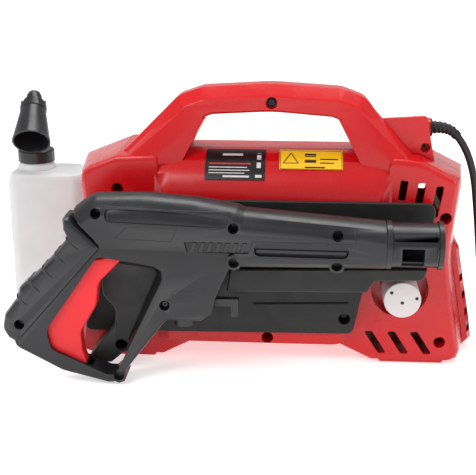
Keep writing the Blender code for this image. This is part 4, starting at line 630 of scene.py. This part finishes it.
def drop(tree, x, z):
    """The point of the surface straight behind (x, z) millimetres, seen from the front, or None."""
    origin = Vector((x, -200.0, z)) * MM + OFFSET
    return tree.ray_cast(origin, Vector((0, 1, 0)), 0.5)[0]


def along(points, closed):
    """Evenly spaced (x, z) points on straight runs between the given ones."""
    ends = list(points) + ([points[0]] if closed else [])
    found = []
    for (ax, az), (bx, bz) in zip(ends, ends[1:]):
        count = max(1, round(math.hypot(bx - ax, bz - az) / MARK_SPACING))
        found += [(ax + (bx - ax) * k / count, az + (bz - az) * k / count) for k in range(count)]
    return found if closed else found + [ends[-1]]


def ridge(name, places, radius, body, slot, closed=False, sink=0.35):
    """A thin rounded ridge along points that lie on a surface, sunk into it by a share of its radius."""
    sunk = [(place.x, place.y + sink * radius * MM, place.z) for place in places]
    shape = tube(name, sunk, radius * MM, 2, closed)
    mesh = bpy.data.meshes.new_from_object(shape.evaluated_get(bpy.context.evaluated_depsgraph_get()))
    bpy.data.objects.remove(shape)
    mesh.name = name
    mesh.shade_smooth()
    finish_piece(new_object(name, mesh), body, slot)


def embossed(name, points, radius, tree, body, slot, closed=False):
    """A ridge that follows an outline in (x, z) millimetres over the front of a piece."""
    places = [drop(tree, x, z) for x, z in along(points, closed)]
    ridge(name, [place for place in places if place is not None], radius, body, slot, closed)


def patch(name, outline, tree, slot):
    """A thin film over a surface of the machine, between four (x, z) corners in millimetres."""
    (ax, az), (bx, bz), (cx, cz), (dx, dz) = outline
    columns = max(2, round(math.hypot(bx - ax, bz - az) / FILM_COLUMN))
    rows = max(2, round(math.hypot(dx - ax, dz - az) / FILM_ROW))
    lift = Vector((0, FILM_LIFT * MM, 0))
    grid = []
    for row in range(rows + 1):
        v = row / rows
        line = []
        for column in range(columns + 1):
            u = column / columns
            x = (1 - v) * (ax + (bx - ax) * u) + v * (dx + (cx - dx) * u)
            z = (1 - v) * (az + (bz - az) * u) + v * (dz + (cz - dz) * u)
            line.append(drop(tree, x, z) - lift)
        grid.append(line)
    finish_piece(sheet(name, grid, FILM_T * MM), "machine", slot)


def gun_bar(name, outline, depths, width):
    """A bar on the gun: an outline in (x, z) millimetres between two depths, its edges rounded by width."""
    front, back = depths
    work = bmesh.new()
    near = [work.verts.new(Vector((x, front, z)) * MM + OFFSET) for x, z in outline]
    far = [work.verts.new(Vector((x, back, z)) * MM + OFFSET) for x, z in outline]
    work.faces.new(near)
    work.faces.new(list(reversed(far)))
    for k in range(len(near)):
        work.faces.new((near[k - 1], near[k], far[k], far[k - 1]))
    obj = object_from(work, name)
    bevel = obj.modifiers.new("rounded edges", "BEVEL")
    bevel.width = width * MM
    bevel.segments = 2
    finish_piece(obj, "gun", "black_plastic")


def gun_marks():
    """The ridges, badge field, arrow, ribs and rail on the gun's front flank."""
    tree = surface_of("gun_front_shell_surface")
    for name, outline, radius in (("badge_outline", BADGE, 0.42), ("arrow_outline", ARROW, 0.40),
                                  ("slot_rim", SLOT_EDGE, 0.55), ("recess_rim", RECESS_RIM, 0.50)):
        embossed(name, outline, radius, tree, "gun", "black_plastic", True)
    embossed("barrel_arc", BARREL_ARC, 0.45, tree, "gun", "black_plastic")
    for number in range(RIBS):
        outline = [(RIB_LEFT + RIB_PITCH * number + x, z) for x, z in RIB]
        gun_bar("slant_rib_%d" % (number + 1), outline, RIB_DEPTHS, width=0.3)
    gun_bar("slot_rail", SLOT_RAIL, RAIL_DEPTHS, width=0.9)
    gun_bar("slot_floor", SLOT_FLOOR, SLOT_FLOOR_DEPTHS, width=0.2)


def recess_floor():
    """The floor of the long recess, a little below the receiver's rounded flank."""
    tree = surface_of("gun_front_shell_surface")
    columns = []
    for column in range(RECESS_COLUMNS + 1):
        x = RECESS_LEFT + RECESS_LENGTH * column / RECESS_COLUMNS
        low = RECESS_LOW - RECESS_LOW_FALL * column / RECESS_COLUMNS
        high = RECESS_HIGH - RECESS_HIGH_FALL * column / RECESS_COLUMNS
        below, above = drop(tree, x, low - RECESS_BELOW), drop(tree, x, high + RECESS_ABOVE)
        line = []
        for row in range(RECESS_ROWS + 1):
            v = row / RECESS_ROWS
            y = below.y + (above.y - below.y) * v * v + RECESS_DEPTH * MM
            line.append((below.x, y, (low + (high - low) * v) * MM))
        columns.append(line)
    finish_piece(sheet("recess_floor", zip(*columns), RECESS_T), "gun", "black_plastic")


def grip_bands():
    """Low ridges across the back of the grip, between the places for the fingers."""
    tree = surface_of("gun_front_shell_surface", "gun_rear_shell_surface")
    back = Vector((-GRIP_AXIS.z, 0.0, GRIP_AXIS.x)) * -1.0
    for number in range(BANDS):
        centre = GRIP_TOP + GRIP_AXIS * BAND_PITCH * number + BAND_SHIFT
        places = []
        for step in range(BAND_STEPS + 1):
            turn = math.radians(-BAND_REACH + 2 * BAND_REACH * step / BAND_STEPS)
            way = back * math.cos(turn) + Vector((0, math.sin(turn), 0))
            hit = tree.ray_cast((centre + way * 60) * MM + OFFSET, -way, 0.07)[0]
            if hit is not None:
                places.append(hit - way * BAND_SINK)
        ridge("grip_band_%d" % (number + 1), places, BAND_R, "gun", "black_plastic", sink=0.0)


def screw_heads():
    """A dark cross on each screw head that shows in a well: painted shade standing for the cross recess."""
    for node in sorted(NODES):
        if not (node.startswith(("shell_screw_", "gun_screw_")) or node == "panel_screw"):
            continue
        low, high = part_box(node)
        x, z, y = (low.x + high.x) / 2, (low.z + high.z) / 2, low.y
        reach = (high.x - low.x) / 2 * CROSS_REACH
        arm = reach * CROSS_ARM
        work = bmesh.new()
        for wide, tall in ((reach, arm), (arm, reach)):
            made = bmesh.ops.create_cube(work, size=2.0)
            bmesh.ops.scale(work, verts=made["verts"], vec=(wide, CROSS_DEPTH, tall))
            bmesh.ops.translate(work, verts=made["verts"], vec=(x, y, z))
        # near-black cross where the recess would be in shade: painted shade
        finish_piece(object_from(work, node + "_cross"), BODY_OF[node], "label_black")


def on_label(node, left, low, right, high):
    """Four (x, z) corners in millimetres, from shares of a label's width and height."""
    near, far = (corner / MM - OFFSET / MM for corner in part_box(node))
    x0, x1 = (near.x + (far.x - near.x) * share for share in (left, right))
    z0, z1 = (near.z + (far.z - near.z) * share for share in (low, high))
    return [(x0, z0), (x1, z0), (x1, z1), (x0, z1)]


def print_marks():
    """Plain bars and an empty triangle in place of the labels' texts and signs."""
    dark = surface_of("rating_label_surface")
    for number, shares in enumerate(DARK_BARS):
        slot = "trigger_red" if number == 1 else "light_grey"
        patch("label_bar_%d" % (number + 1), on_label("rating_label", *shares), dark, slot)
    yellow = surface_of("notice_label_surface")
    for number, shares in enumerate(YELLOW_BARS):
        patch("notice_bar_%d" % (number + 1), on_label("notice_label", *shares), yellow, "label_black")
    corners = on_label("notice_label", *TRIANGLE)
    top = ((corners[2][0] + corners[3][0]) / 2, corners[2][1])
    embossed("notice_triangle", [corners[0], corners[1], top], 0.5, yellow, "machine", "label_black", True)
    embossed("notice_rim", on_label("notice_label", *NOTICE_RIM), 0.3, yellow, "machine", "label_black", True)


def cap_marks():
    """Dark discs at the inlet cap's face: painted shade in its dimples."""
    low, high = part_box("inlet_cap")
    centre = (low + high) / 2
    turn = Matrix.Rotation(math.radians(90), 4, "X")
    for number, (x, z) in enumerate(DIMPLES):
        place = Matrix.Translation((centre.x + x * MM, low.y + DIMPLE_SINK, centre.z + z * MM))
        dot = turned("cap_dimple_%d" % (number + 1), DIMPLE_PROFILE, place @ turn, 24)
        # near-black disc: painted shade where a dimple is hollow
        finish_piece(dot, "inlet_cap", "label_black")


camera()
studio()
mains_cord(mains_plug())
strain_relief()
for each_node in sorted(set(NODES) - REPLACED):
    refine(each_node, 0.0 if each_node in UNROUNDED else EDGE_ROUND)

gun_marks()
recess_floor()
grip_bands()
print_marks()
cap_marks()
screw_heads()
